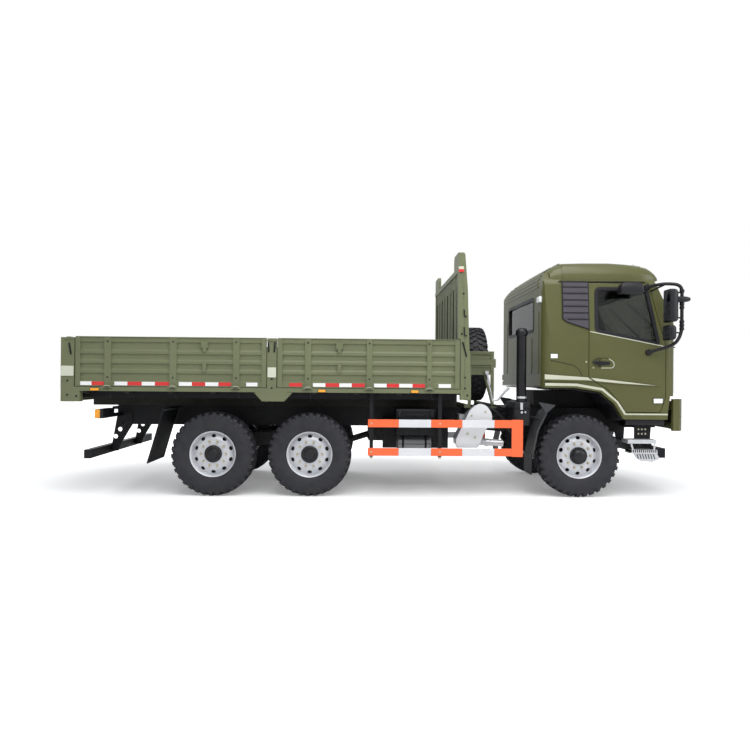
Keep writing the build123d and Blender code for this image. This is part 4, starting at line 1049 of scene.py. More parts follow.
frame_strip = Shape()
strip(frame_strip, rounded_loop(REAR_WINDOW, 0.06), 0.046, 0.004, on_cab_rear, closed=True, depth=0.030)
frame_strip.make("rear_window_frame", PLASTIC, "cab")
ribs = Shape()
for rib_angle in RIB_ANGLES:
    heading = Vector((math.cos(rib_angle), 0, math.sin(rib_angle)))
    rays = [(Vector((CROWN_CENTRE[0], y, CROWN_CENTRE[1])) + heading * CROWN_REACH, -heading)
            for y in (RIB_HALF * (step / 12 - 1) for step in range(25))]
    skin_line(ribs, ROOF_SKIN, rays, 0.040, 0.011)
ribs.make("roof_ribs", CAB_PAINT, "cab", smooth=60)
panels = [rounded_loop(((left, foot), (right, foot), (right, top), (left, top)), 0.05)
          for left, right, foot, top in REAR_PRESSINGS]
patches("rear_wall_pressings", CAB_PAINT, "cab", panels, 0.006, on_cab_rear, bevel=0.004)
bars("work_lamp", CLEAR_LENS, "cab", ((CAB_REAR - 0.034, CAB_REAR + 0.004), (-1.075, -0.945), (2.560, 2.640)),
     bevel=0.010, segments=3)
print("ribs", RIB_COUNT)

# %% Windscreen, wipers and grille
MESH_Z = (1.395, 1.690)
FLAP_PRESSING = ((-0.790, 1.722), (0.790, 1.722), (0.790, 1.948), (-0.790, 1.948))
WIPER_FOOT_Z, WIPER_TIP_Z, WIPER_REACH = 2.060, 2.430, 0.330

front_trim = Shape()
screen_loop = rounded_loop(WINDSCREEN, 0.08)
strip(front_trim, screen_loop, 0.060, 0.005, on_cab_front, closed=True, depth=0.030)
front_trim.make("windscreen_frame", PLASTIC, "cab")
wipers = Shape()
for wiper_y in (-0.720, -0.060, 0.600):
    foot = on_cab_front(wiper_y, WIPER_FOOT_Z, 0.014)
    tip = on_cab_front(wiper_y + WIPER_REACH, WIPER_TIP_Z, 0.016)
    wipers.tube((foot, foot.lerp(tip, 0.5) + Vector((0.012, 0, 0)), tip), 0.007, steps=8)
    blade_ends = [on_cab_front(wiper_y + WIPER_REACH + reach * 0.30, WIPER_TIP_Z + reach * 0.26, 0.012)
                  for reach in (-1, 1)]
    wipers.tube(blade_ends, 0.008, steps=6)
    disc(wipers, on_cab_front(wiper_y, WIPER_FOOT_Z, 0.004), (1, 0, 0), 0.022, 0.016)
wipers.make("wipers", PLASTIC, "cab", smooth=50)
mesh_plate = Shape()
mesh_plate.bar((3.944, 3.949), (-0.570, 0.570), MESH_Z)
for wire in range(29):
    wire_y = -0.560 + 0.040 * wire
    mesh_plate.bar((3.949, 3.954), (wire_y - 0.003, wire_y + 0.003), MESH_Z)
mesh_plate.make("grille_mesh", HUB_BLACK, "grille_flap")
flap_edge = Shape()
strip(flap_edge, rounded_loop(FLAP_PRESSING, 0.04), 0.010, 0.003, on_cab_front, closed=True)
flap_edge.make("flap_pressing", CAB_PAINT, "grille_flap")
grips = Shape()
for hand, side in SIDES:
    ends = [on_cab_front(side * y, 1.985, 0.030) for y in (0.86, 1.02)]
    feet = [on_cab_front(side * y, 1.985, -0.004) for y in (0.86, 1.02)]
    grips.tube(round_corners((feet[0], ends[0], ends[1], feet[1]), 0.012), 0.009, steps=8)
grips.make("screen_grips", PLASTIC, "cab", smooth=50)
print("front dressed")

# %% [markdown]
# ## Cargo bed
# Red and white tape runs along the foot of every board. Each upright carries bolts, a hinge bracket
# and a rope hook below the sill. The posts hold the levers that lock the boards.

# %% Tape, hinges, hooks and latches of the bed
# Columns: body, uprights (from, to), tape pieces (from, to, colour)
TAPE_ROWS = (
    ("rear", ((-3.501, -3.414), (-2.679, -2.590), (-1.876, -1.793)),
     ((-3.831, -3.660, "W"), (-3.660, -3.503, "R"), (-3.374, -3.209, "W"), (-3.209, -3.029, "R"),
      (-3.029, -2.862, "W"), (-2.862, -2.682, "R"), (-2.561, -2.395, "W"), (-2.395, -2.226, "R"),
      (-2.226, -2.059, "W"), (-2.059, -1.897, "R"), (-1.707, -1.562, "W"))),
    ("front", ((-0.960, -0.880), (-0.170, -0.097), (0.607, 0.667)),
     ((-1.159, -0.994, "R"), (-0.856, -0.696, "W"), (-0.696, -0.519, "R"), (-0.519, -0.359, "W"),
      (-0.359, -0.193, "R"), (-0.074, 0.089, "W"), (0.089, 0.249, "R"), (0.249, 0.422, "W"),
      (0.422, 0.582, "R"), (0.756, 0.917, "W"))))
TAPE_Z = (1.425, 1.472)
# Places (x, z) of the bolts in the posts
POST_BOLTS = ((-1.380, 1.520), (-1.380, 1.405), (-3.960, 1.480), (-3.960, 1.300), (-3.845, 1.285),
              (1.095, 1.560), (1.095, 1.420), (1.128, 1.330), (1.050, 2.120), (1.070, 2.640))
PANEL_Y, UPRIGHT_Y, POST_Y = 1.222, 1.230, 1.232
BOLT_Z = (1.985, 1.528)
BRACKET_X = {"rear": -2.240, "front": -0.520}
# Beads of painted shade between the headboard's ribs: count, pitch and heights
BEAD_COUNT, BEAD_PITCH = 8, 0.290
BEAD_Z = (1.480, 2.755)


def dress_board(place_name, hand, side, uprights, tapes):
    body = f"board_{place_name}_{hand}"
    for colour, material in (("W", TAPE_WHITE), ("R", TAPE_RED)):
        tape = Shape()
        for low, high, piece_colour in tapes:
            if piece_colour == colour:
                tape.bar((low + 0.001, high - 0.001), span(side, PANEL_Y - 0.001, PANEL_Y + 0.0015), TAPE_Z)
        tape.make(f"tape_{colour}_{place_name}_{hand}", material, body)
    bolts = Shape()
    brackets = Shape()
    pale = Shape()
    for low, high in uprights:
        middle = (low + high) / 2
        for bolt_z in BOLT_Z:
            disc(bolts, (middle, side * UPRIGHT_Y, bolt_z), (0, side, 0), 0.011, 0.005, steps=12)
        brackets.bar((middle - 0.034, middle + 0.034), span(side, UPRIGHT_Y - 0.002, 1.262), (1.388, 1.416))
        # A pale cap on each bracket's top is a painted highlight
        pale.bar((middle - 0.036, middle + 0.036), span(side, UPRIGHT_Y - 0.002, 1.260), (1.416, 1.4225))
    bolts.make(f"board_bolts_{place_name}_{hand}", HUB_BLACK, body)
    brackets.make(f"hinge_brackets_{place_name}_{hand}", CHASSIS, body, bevel=0.003)
    pale.make(f"hinge_tops_{place_name}_{hand}", MOULDING_HIGHLIGHT, body, bevel=0.001)
    pockets = Shape()
    middle = BRACKET_X[place_name]
    # Columns: half width, z range of the two straps of a stake pocket
    for half, z_range in ((0.043, (1.905, 1.992)), (0.024, (1.858, 1.915)), (0.024, (1.600, 1.722))):
        pockets.bar((middle - half, middle + half), span(side, 1.200, 1.236), z_range)
    pockets.make(f"stake_pockets_{place_name}_{hand}", BED_PAINT, body, bevel=0.004)
    board_low, board_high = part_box(body)
    bars(f"board_cap_{place_name}_{hand}", BED_PAINT, body,
         ((board_low.x + 0.002, board_high.x - 0.002), span(side, 1.192, 1.2325), (2.036, 2.0455)),
         bevel=0.004)


def dress_bed_side(hand, side):
    hooks = Shape()
    for row in TAPE_ROWS:
        for low, high in row[1]:
            hook_x = (low + high) / 2 + 0.030
            path = ((hook_x, side * 1.205, 1.355), (hook_x, side * 1.208, 1.285),
                    (hook_x + 0.012, side * 1.214, 1.268), (hook_x + 0.026, side * 1.222, 1.280))
            hooks.tube(round_corners(path, 0.012), 0.0065, steps=8)
    hooks.make(f"rope_hooks_{hand}", CHASSIS, "chassis", smooth=60)
    lips = Shape()
    for low, high in ((-4.040, -3.883), (-1.434, -1.326)):
        lips.add([(x, side * (POST_Y + out), z) for x in (low, high)
                  for out, z in ((-0.002, 1.541), (0.010, 1.541), (0.002, 1.668), (-0.002, 1.668))],
                 ((0, 1, 2, 3), (7, 6, 5, 4), (0, 4, 5, 1), (1, 5, 6, 2), (2, 6, 7, 3), (3, 7, 4, 0)))
    lips.make(f"post_lips_{hand}", STRIPE_PALE, "chassis", bevel=0.002)
    levers = Shape()
    # Columns: upper end (x, z), lower end (x, z) of each locking lever
    for upper, lower in (((-1.428, 1.990), (-1.420, 1.862)), ((-1.342, 1.990), (-1.350, 1.862)),
                         ((-3.940, 1.960), (-3.915, 1.812)), ((1.062, 2.016), (1.112, 1.828))):
        strip(levers, (upper, lower), 0.018, 0.012, on_flat_side(side, POST_Y))
    levers.make(f"board_levers_{hand}", CHASSIS, "chassis", bevel=0.003)
    catches = Shape()
    for low, high in ((-1.452, -1.308), (-3.985, -3.880)):
        strip(catches, ((low, 2.014), (high, 2.014)), 0.022, 0.010, on_flat_side(side, POST_Y))
    catches.make(f"board_catches_{hand}", BED_PAINT, "chassis", bevel=0.003)
    pins(f"post_bolts_{hand}", CHASSIS, "chassis", [(x, side * POST_Y, z) for x, z in POST_BOLTS],
         (0, side, 0), 0.012, 0.006, steps=12)
    feet = Shape()
    for foot_x in (-1.452, -1.296):
        feet.turned((foot_x, side * 1.190, 1.238), (0, 0, -1),
                    ((-0.004, 0.026), (0.012, 0.026), (0.016, 0.020)), steps=6)
    feet.make(f"post_feet_{hand}", CHASSIS, "chassis")
    hooks_up = Shape()
    # Columns: top and bottom height, x of the two hooks on the headboard post
    for top, bottom, hook_x in ((2.430, 2.345, 1.078), (2.205, 2.100, 1.080)):
        path = ((hook_x, side * (POST_Y - 0.004), top), (hook_x, side * 1.246, top - 0.004),
                (hook_x + 0.002, side * 1.246, bottom), (hook_x + 0.034, side * 1.246, bottom - 0.004))
        hooks_up.tube(round_corners(path, 0.012), 0.0075, steps=8)
    hooks_up.make(f"post_hooks_{hand}", CHASSIS, "chassis", smooth=60)
    # Columns: z range, material of the marker on the headboard's end
    for part, (z_range, material) in enumerate((((2.951, 2.987), STRIPE_PALE), ((2.915, 2.951), TAPE_RED))):
        bars(f"headboard_marker_{part}_{hand}", material, "chassis",
             ((1.003, 1.070), span(side, POST_Y - 0.004, POST_Y + 0.014), z_range), bevel=0.003)
    flange = Shape()
    strip(flange, ((1.096, 1.470), (1.096, 2.055), (1.072, 2.680), (1.052, 2.905)), 0.012, 0.004,
          on_flat_side(side, POST_Y))
    flange.make(f"post_flange_{hand}", BED_PAINT, "chassis", bevel=0.002)


for row_name, uprights, tapes in TAPE_ROWS:
    for hand, side in SIDES:
        dress_board(row_name, hand, side, uprights, tapes)
for hand, side in SIDES:
    dress_bed_side(hand, side)
headboard_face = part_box("headboard")[0].x
# Dark beads between the headboard's ribs are painted shade that brings out the ribs
shade_beads = Shape()
for bead in range(BEAD_COUNT):
    bead_y = (bead - (BEAD_COUNT - 1) / 2) * BEAD_PITCH
    shade_beads.bar((headboard_face + 0.001, headboard_face + 0.014), (bead_y - 0.008, bead_y + 0.008), BEAD_Z)
shade_beads.make("headboard_seams", SHADE_PAINT, "chassis", bevel=0.002)
for hand, side in SIDES:
    bars(f"bed_side_rail_{hand}", CHASSIS, "chassis",
         ((-3.900, 1.020), span(side, 0.985, 1.000), (1.262, 1.352)), bevel=0.003)
gate_places = [(-4.016, y, z) for y in (-1.113, -0.560, 0.0, 0.560, 1.113) for z in BOLT_Z]
pins("tailgate_bolts", HUB_BLACK, "tailgate", gate_places, (-1, 0, 0), 0.011, 0.005, steps=12)
print("bed dressed")

# %% [markdown]
# ## Lamps
# The plain CAD blocks are replaced by lamps with a black housing and moulded lenses: round
# headlamps, three small amber lamps along each sill and long tail lamps on brackets.

# %% Headlamps, side lamps and tail lamps
AMBER_X = ((-3.675, -3.556), (-0.792, -0.687), (0.398, 0.503))
TAIL_LENS_X, TAIL_LENS_Z = (-3.666, -3.640), (0.998, 1.111)
HEADLAMP_X, HEADLAMP_Z = 3.992, 1.055
housing = Shape()
for hand, side in SIDES:
    housing.bar((3.9605, 3.992), span(side, 0.692, 0.958), (0.962, 1.148))
    housing.bar((-3.645, -3.560), span(side, 0.745, 1.110), (0.995, 1.114))
    for low, high in AMBER_X:
        housing.bar((low, high), span(side, POST_Y, POST_Y + 0.005), (1.353, 1.393))
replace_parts(housing.make("lamp_housings", PLASTIC, "chassis", bevel=0.006), "lamps")
for hand, side in SIDES:
    amber = Shape()
    for low, high in AMBER_X:
        amber.bar((low + 0.006, high - 0.006), span(side, POST_Y + 0.004, POST_Y + 0.0135), (1.357, 1.389))
    amber.bar((-3.666, -3.600), span(side, 1.060, 1.112), TAIL_LENS_Z)
    amber.make(f"amber_lenses_{hand}", AMBER, "chassis", bevel=0.004, segments=3)
    # Columns: name, material, y range of each flat tail lens
    for lens, material, y_range in (("red_lenses", RED_LENS, (0.850, 1.058)),
                                    ("reversing_lens", CLEAR_LENS, (0.750, 0.848))):
        bars(f"{lens}_{hand}", material, "chassis", (TAIL_LENS_X, span(side, *y_range), TAIL_LENS_Z),
             bevel=0.004, segments=3)
    for lamp_y, radius in ((0.890, 0.060), (0.757, 0.052)):
        bowl = ((-0.006, radius), (0.014, radius), (0.022, radius * 0.86), (0.026, radius * 0.5),
                (0.0265, 0.002))
        ring = ((-0.004, radius + 0.012), (0.016, radius + 0.010), (0.018, radius + 0.002), (0.010, radius))
        for lamp, profile, material in (("headlamp", bowl, CLEAR_LENS), ("headlamp_ring", ring, LOUVRE_GREY)):
            lens = Shape()
            lens.turned((HEADLAMP_X, side * lamp_y, HEADLAMP_Z), (1, 0, 0), profile, steps=32)
            lens.make(f"{lamp}_{round(lamp_y * 1000)}_{hand}", material, "chassis")
print("lamps placed")

# %% [markdown]
# ## Side guards and what hangs behind them
# The guard rails are dressed with orange and white sleeves, so that the posts stay black. Behind
# them the heat shield is two overlapping bright plates, and the air tank is a turned cylinder.

# %% Guard stripes, heat shield, air tank, battery box and fuel tank
GUARD_RAILS = ((0.546, 0.642), (0.912, 1.010))
# Columns: from, to, colour
GUARD_STRIPES = ((-0.147, 0.249, "O"), (0.249, 0.668, "W"), (0.668, 1.071, "O"), (1.071, 1.488, "W"),
                 (1.488, 1.716, "O"))
SKIN = 0.0015
SLEEVE_Y = (1.180 - SKIN, 1.202 + SKIN)
GUARD_POST_X = (-0.102, 0.784)
# Columns: outline (x, z) of the upper and the lower plate of the shield
SHIELD_UPPER = ((1.312, 1.222), (1.412, 1.196), (1.482, 1.092), (1.489, 1.012), (1.424, 0.893),
                (1.330, 0.902), (1.086, 0.900), (1.150, 1.050), (1.200, 1.150))
SHIELD_LOWER = ((1.420, 0.912), (1.371, 0.805), (1.309, 0.636), (1.016, 0.636), (1.009, 0.742),
                (1.088, 0.912))
SHIELD_Y = 1.061
SHIELD_BOLTS = ((1.165, 0.822), (1.262, 0.776), (1.395, 1.110), (1.215, 1.060))
TANK_CENTRE = (0.4715, -0.900, 0.690)
TANK_PROFILE = ((-0.2365, 0.030), (-0.234, 0.062), (-0.224, 0.090), (-0.206, 0.1035), (-0.190, 0.1055),
                (0.190, 0.1055), (0.206, 0.1035), (0.224, 0.090), (0.234, 0.062), (0.2365, 0.030))

for hand, side in SIDES:
    for colour, material in (("O", STRIPE_ORANGE), ("W", STRIPE_WHITE)):
        sleeve = Shape()
        for low, high, stripe_colour in GUARD_STRIPES:
            if stripe_colour == colour:
                for low_z, high_z in GUARD_RAILS:
                    sleeve.bar((low, high), span(side, *SLEEVE_Y), (low_z - SKIN, high_z + SKIN))
        if colour == "O":
            sleeve.bar((1.715, 1.858 + SKIN), span(side, *SLEEVE_Y), (0.540 - SKIN, 1.015 + SKIN))
        sleeve.make(f"guard_{colour}_{hand}", material, "chassis", bevel=0.003)
    guard_bolts = Shape()
    for post_x in GUARD_POST_X:
        for low_z, high_z in GUARD_RAILS:
            bolt_place = (post_x, side * 1.2035, (low_z + high_z) / 2)
            disc(guard_bolts, bolt_place, (0, side, 0), 0.012, 0.006, steps=12)
        guard_bolts.bar((post_x - 0.016, post_x + 0.016), span(side, 1.150, 1.176), (0.506, 0.534))
    guard_bolts.make(f"guard_bolts_{hand}", NUT_STEEL, "chassis")
    hanger = Shape()
    for post_x in GUARD_POST_X:
        hanger.bar((post_x - 0.030, post_x + 0.030), span(side, 0.470, 1.150), (1.295, 1.349))
    hanger.make(f"guard_hangers_{hand}", CHASSIS, "chassis", bevel=0.004)

upper = Shape()
upper.plate([(p.x, -SHIELD_Y, p.y) for p in rounded_loop(SHIELD_UPPER, 0.09)], (0, -0.007, 0))
upper.make("shield_upper", SHIELD_METAL, "chassis", bevel=0.003)
lower = Shape()
lower.plate([(p.x, -SHIELD_Y + 0.001, p.y) for p in rounded_loop(SHIELD_LOWER, 0.03)], (0, -0.004, 0))
lower.make("shield_lower", SHIELD_METAL, "chassis", bevel=0.002)
pins("shield_bolts", NUT_STEEL, "chassis", [(x, -SHIELD_Y - 0.004, z) for x, z in SHIELD_BOLTS], (0, -1, 0),
     0.016, 0.009, steps=12)
pipe = Shape()
pipe_path = ((1.300, -0.900, 0.700), (1.480, -0.930, 0.690), (1.660, -0.930, 0.684))
pipe.tube(round_corners(pipe_path, 0.08), 0.041, steps=24)
pipe.turned((1.440, -0.927, 0.692), (1, 0, 0), ((-0.020, 0.047), (0.020, 0.047)), steps=24)
pipe.make("exhaust_pipe", BARE_METAL, "chassis", smooth=50)
tank = Shape()
tank.turned(TANK_CENTRE, (1, 0, 0), TANK_PROFILE, steps=48)
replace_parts(tank.make("air_tank", TANK_METAL, "chassis"), "air_tanks")
bars("tank_bracket", CHASSIS, "chassis", ((0.060, 0.960), (-0.700, -0.660), (0.590, 0.960)),
     ((0.060, 0.180), (-0.700, -0.445), (0.900, 0.990)), ((0.840, 0.960), (-0.700, -0.445), (0.900, 0.990)),
     bevel=0.006)
straps = Shape()
for strap_x in (0.320, 0.620):
    straps.turned((strap_x, *TANK_CENTRE[1:]), (1, 0, 0), ((-0.014, 0.1075), (0.014, 0.1075)), steps=48)
    straps.bar((strap_x - 0.015, strap_x + 0.015), (-0.920, -0.880), (0.780, 0.802))
straps.make("air_tank_straps", CHASSIS, "chassis", bevel=0.001)
box_trim = Shape()
box_trim.bar((0.222, 0.727), (-1.106, -0.640), (1.112, 1.1425))
box_trim.bar((0.350, 0.600), (-1.120, -1.104), (1.060, 1.074))
for latch_x in (0.262, 0.688):
    box_trim.bar((latch_x - 0.014, latch_x + 0.014), (-1.124, -1.104), (1.040, 1.128))
box_trim.make("battery_lid", PLASTIC, "chassis", bevel=0.005)
fuel_trim = Shape()
for strap_x in (0.150, 0.900):
    fuel_trim.bar((strap_x - 0.025, strap_x + 0.025), (1.119, 1.124), (0.715, 1.045))
fuel_trim.turned((1.020, 1.020, 1.115), (0, 0, 1), ((-0.01, 0.045), (0.020, 0.045), (0.026, 0.040)), steps=24)
fuel_trim.make("fuel_tank_trim", PLASTIC, "chassis", bevel=0.002)
print("guards and tanks dressed")

# %% [markdown]
# ## Steps, mirrors and the air intake
# The step treads are bare metal with a toothed edge. The mirror heads get glass and soft corners,
# and their tube arms get ribbed grips. The raised air intake is a smooth tube with a mushroom cap,
# and struts and rigid pipes fill the gap between the cab and the bed.

# %% Steps
STEP_GRATING = ((3.317, 0.608), (3.371, 0.520), (3.437, 0.484), (3.590, 0.470), (3.690, 0.512),
                (3.636, 0.608))
STEP_FACE_Y = 1.120
TOOTH_COUNT, SLOT_COUNT = 13, 7


def dress_steps(hand, side):
    treads = Shape()
    treads.bar((3.252, 3.632), span(side, 0.958, 1.152), (0.714, 0.765))
    treads.bar((3.292, 3.647), span(side, 0.973, 1.152), (0.583, 0.598))
    for tooth in range(TOOTH_COUNT):
        tooth_x = 3.306 + 0.027 * tooth
        treads.bar((tooth_x, tooth_x + 0.013), span(side, 0.975, 1.152), (0.598, 0.634))
    for low, high in (((3.300, 0.716), (3.332, 0.600)), ((3.612, 0.716), (3.600, 0.600))):
        strip(treads, (low, high), 0.022, 0.006, on_flat_side(side, 1.140))
    treads.make(f"step_treads_{hand}", BARE_METAL, "chassis", bevel=0.002)
    patches(f"step_grating_{hand}", BARE_METAL, "chassis", (STEP_GRATING,), 0.006,
            on_flat_side(side, STEP_FACE_Y), bevel=0.002)
    slots = Shape()
    for slot in range(SLOT_COUNT):
        slot_x = 3.385 + 0.036 * slot
        strip(slots, ((slot_x, 0.575), (slot_x + 0.020, 0.510)), 0.012, 0.0075,
              on_flat_side(side, STEP_FACE_Y))
    slots.make(f"step_slots_{hand}", PLASTIC, "chassis")
    bolt_places = [(3.455 + 0.046 * column, side * 1.010, 0.830 + 0.060 * row)
                   for column in range(3) for row in range(2)]
    pins(f"step_bracket_bolts_{hand}", NUT_STEEL, "chassis", bolt_places, (0, side, 0), 0.013, 0.002,
         steps=16)


for hand, side in SIDES:
    dress_steps(hand, side)
print("steps dressed")

# %% Mirrors
MIRROR_POST_X, MIRROR_POST_Y = 3.822, 1.400
GRIP_HEIGHTS = (2.200, 2.245, 2.290, 2.470, 2.515, 2.680)
GRIP_PROFILE = ((-0.021, 0.021), (-0.016, 0.029), (0.016, 0.029), (0.021, 0.021))
# Columns: x range, y range, z range of each mirror head
MIRROR_HEADS = (((3.640, 3.752), (1.288, 1.4845), (2.282, 2.701)),
                ((3.634, 3.727), (1.288, 1.4845), (2.054, 2.244)),
                ((3.748, 3.918), (1.343, 1.457), (2.537, 2.609)))
# Columns: share of the depth, share of the half width
HEAD_SECTIONS = ((0.0, 0.97), (0.08, 1.0), (0.45, 1.0), (0.75, 0.93), (0.93, 0.78), (1.0, 0.55))
SQUARE = ((-1, -1), (1, -1), (1, 1), (-1, 1))


def mirror_head(shape, side, x_range, y_range, z_range):
    """A mirror head that narrows towards its front."""
    middle_y, half_y = sum(y_range) / 2, (y_range[1] - y_range[0]) / 2
    middle_z, half_z = sum(z_range) / 2, (z_range[1] - z_range[0]) / 2
    loops = []
    for depth, share in HEAD_SECTIONS:
        x = x_range[0] + (x_range[1] - x_range[0]) * depth
        corners = [(middle_y + y * half_y * share, middle_z + z * (half_z - half_y * (1 - share)))
                   for y, z in SQUARE]
        loops.append([(x, side * point.x, point.y) for point in rounded_loop(corners, 0.03)])
    shape.rings(loops)


def dress_mirrors(hand, side):
    body = f"door_{hand}"
    glass_plates = Shape()
    glass_plates.bar((3.6335, 3.638), span(side, 1.306, 1.469), (2.302, 2.682))
    glass_plates.bar((3.6275, 3.632), span(side, 1.306, 1.469), (2.074, 2.225))
    if hand == "right":
        glass_plates.bar((3.072, 3.341), span(side, 1.250, 1.360), (2.6515, 2.656))
    glass_plates.make(f"mirror_glass_{hand}", MIRROR, body)
    post_x, post_y = MIRROR_POST_X, side * MIRROR_POST_Y
    grips = Shape()
    for grip_z in GRIP_HEIGHTS:
        grips.turned((post_x, post_y, grip_z), (0, 0, 1), GRIP_PROFILE, steps=20)
    arm = ((3.505, side * 1.129, 2.765), (3.640, side * 1.300, 2.790), (post_x, post_y, 2.760),
           (post_x, post_y, 2.150), (3.740, post_y, 2.000), (3.505, side * 1.183, 1.906))
    grips.tube(round_corners(arm, 0.09, steps=6), 0.0210, steps=16)
    grips.tube(((3.560, side * 1.118, 2.715), (3.650, side * 1.300, 2.775)), 0.012, steps=10)
    for link_z in (2.660, 2.340, 2.150):
        grips.tube(((3.730, post_y, link_z), (post_x, post_y, link_z)), 0.010, steps=10)
    for foot in (arm[0], arm[-1]):
        disc(grips, (foot[0], foot[1] - side * 0.012, foot[2]), (0, side, 0), 0.040, 0.026)
    grips.make(f"mirror_arm_{hand}", PLASTIC, body, smooth=50)
    backs = Shape()
    for ranges in MIRROR_HEADS:
        mirror_head(backs, side, *ranges)
    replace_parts(backs.make(f"mirror_covers_{hand}", PLASTIC, body, smooth=50), f"mirror_{hand}")


for hand, side in SIDES:
    dress_mirrors(hand, side)
kerb = Shape()
kerb_loops = []
for height, share in ((2.653, 0.96), (2.665, 1.0), (2.730, 0.98), (2.765, 0.90), (2.788, 0.70)):
    corners = [(3.2065 + x * 0.1525 * share, -1.305 + y * 0.072 * share) for x, y in SQUARE]
    kerb_loops += at_heights(rounded_loop(corners, 0.03), (height,))
kerb.rings(kerb_loops)
kerb.bar((3.180, 3.235), (-1.310, -1.270), (2.780, 2.800))
kerb.make("kerb_mirror_cover", PLASTIC, "door_right", smooth=50)
print("mirrors dressed")

# %% Air intake and filter
INTAKE_X, INTAKE_Y = 1.898, -0.950
# Columns: height, radius of the tube and its cap
INTAKE_PROFILE = ((1.236, 0.060), (1.238, 0.074), (1.262, 0.074), (1.268, 0.065), (2.118, 0.065),
                  (2.124, 0.072), (2.134, 0.079), (2.160, 0.081), (2.184, 0.078), (2.204, 0.069),
                  (2.218, 0.054), (2.226, 0.032), (2.228, 0.003))
FILTER_OUTLINE = ((1.780, -1.040), (2.010, -1.040), (2.010, -0.600), (1.780, -0.600))
LID_OUTLINE = ((1.772, -1.048), (2.018, -1.048), (2.018, -0.592), (1.772, -0.592))

intake = Shape()
intake.turned((INTAKE_X, INTAKE_Y, 0), (0, 0, 1), INTAKE_PROFILE, steps=48)
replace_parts(intake.make("intake_tube", HUB_BLACK, "chassis", smooth=35), "snorkel")
filter_box = Shape()
filter_box.rings(at_heights(rounded_loop(FILTER_OUTLINE, 0.045), (0.930, 1.240)))
filter_box.bar((1.830, 1.960), (-0.600, -0.435), (0.950, 1.100))
filter_box.make("filter_housing", PLASTIC, "chassis", bevel=0.006)
filter_lid = Shape()
filter_lid.rings(at_heights(rounded_loop(LID_OUTLINE, 0.050), (1.150, 1.175)))
filter_lid.make("filter_seam", CHASSIS, "chassis", bevel=0.003)
clamp = Shape()
clamp.turned((INTAKE_X, INTAKE_Y, 1.300), (0, 0, 1),
             ((-0.014, 0.067), (-0.012, 0.069), (0.012, 0.069), (0.014, 0.067)), steps=48)
clamp.bar((1.862, 1.896), (-1.052, -1.040), (1.140, 1.232))
disc(clamp, (1.879, -1.052, 1.105), (0, -1, 0), 0.016, 0.014)
disc(clamp, (1.930, -1.040, 1.108), (0, -1, 0), 0.013, 0.014)
clamp.make("intake_clamp", BARE_METAL, "chassis", bevel=0.002)
print("intake dressed")

# %% Struts, pipes and spare wheel carrier
# Columns: points of each rigid air pipe on the frame behind the cab
PIPE_PATHS = (
    ((1.350, -0.500, 1.180), (1.560, -0.640, 1.190), (1.780, -0.600, 1.120), (2.050, -0.520, 1.050)),
    ((1.300, -0.560, 1.130), (1.600, -0.560, 1.020), (1.850, -0.480, 1.060), (2.080, -0.460, 1.150)),
    ((1.420, -0.820, 1.180), (1.560, -0.860, 1.130), (1.700, -0.840, 1.000), (1.780, -0.800, 0.960)))
SPARE_CLAMP_PROFILE = ((-0.01, 0.075), (0.010, 0.075), (0.014, 0.070), (0.014, 0.03), (0.032, 0.028),
                       (0.034, 0.003))

struts = Shape()
struts.tube(((1.476, -0.748, 1.630), (1.560, -0.748, 1.235)), 0.013)
bent_strut = ((1.560, -0.748, 1.255), (1.625, -0.760, 1.250), (1.700, -0.770, 1.345), (1.775, -0.770, 1.425))
struts.tube(round_corners(bent_strut, 0.05), 0.015)
struts.bar((1.455, 1.500), (-0.760, -0.638), (1.610, 1.650))
struts.make("carrier_struts", BARE_METAL, "chassis", smooth=50)
pipes = Shape()
for path in PIPE_PATHS:
    pipes.tube(round_corners(path, 0.09), 0.016)
pipes.make("air_pipes", PLASTIC, "chassis", smooth=50)
carrier_trim = Shape()
for _, side in SIDES:
    carrier_trim.bar((1.250, 1.600), span(side, 0.630, 0.642), (1.905, 1.925))
    strip(carrier_trim, ((1.283, 1.718), (1.560, 1.718)), 0.010, 0.004, on_flat_side(side, 0.638))
carrier_trim.make("carrier_edges", BED_PAINT, "chassis", bevel=0.002)
spare_cap = Shape()
spare_cap.turned((1.338, 0, 1.762), (-1, 0, 0), SPARE_CLAMP_PROFILE, steps=24)
spare_cap.make("spare_clamp", CHASSIS, "chassis")
print("spare wheel carrier dressed")

# %% [markdown]
# ## Chassis details
# Bolts along the frame rails, clamps on the springs, brake chambers, shafts and a valance under the
# cab give the dark underside some depth. The rubber flaps hang behind the wheels.

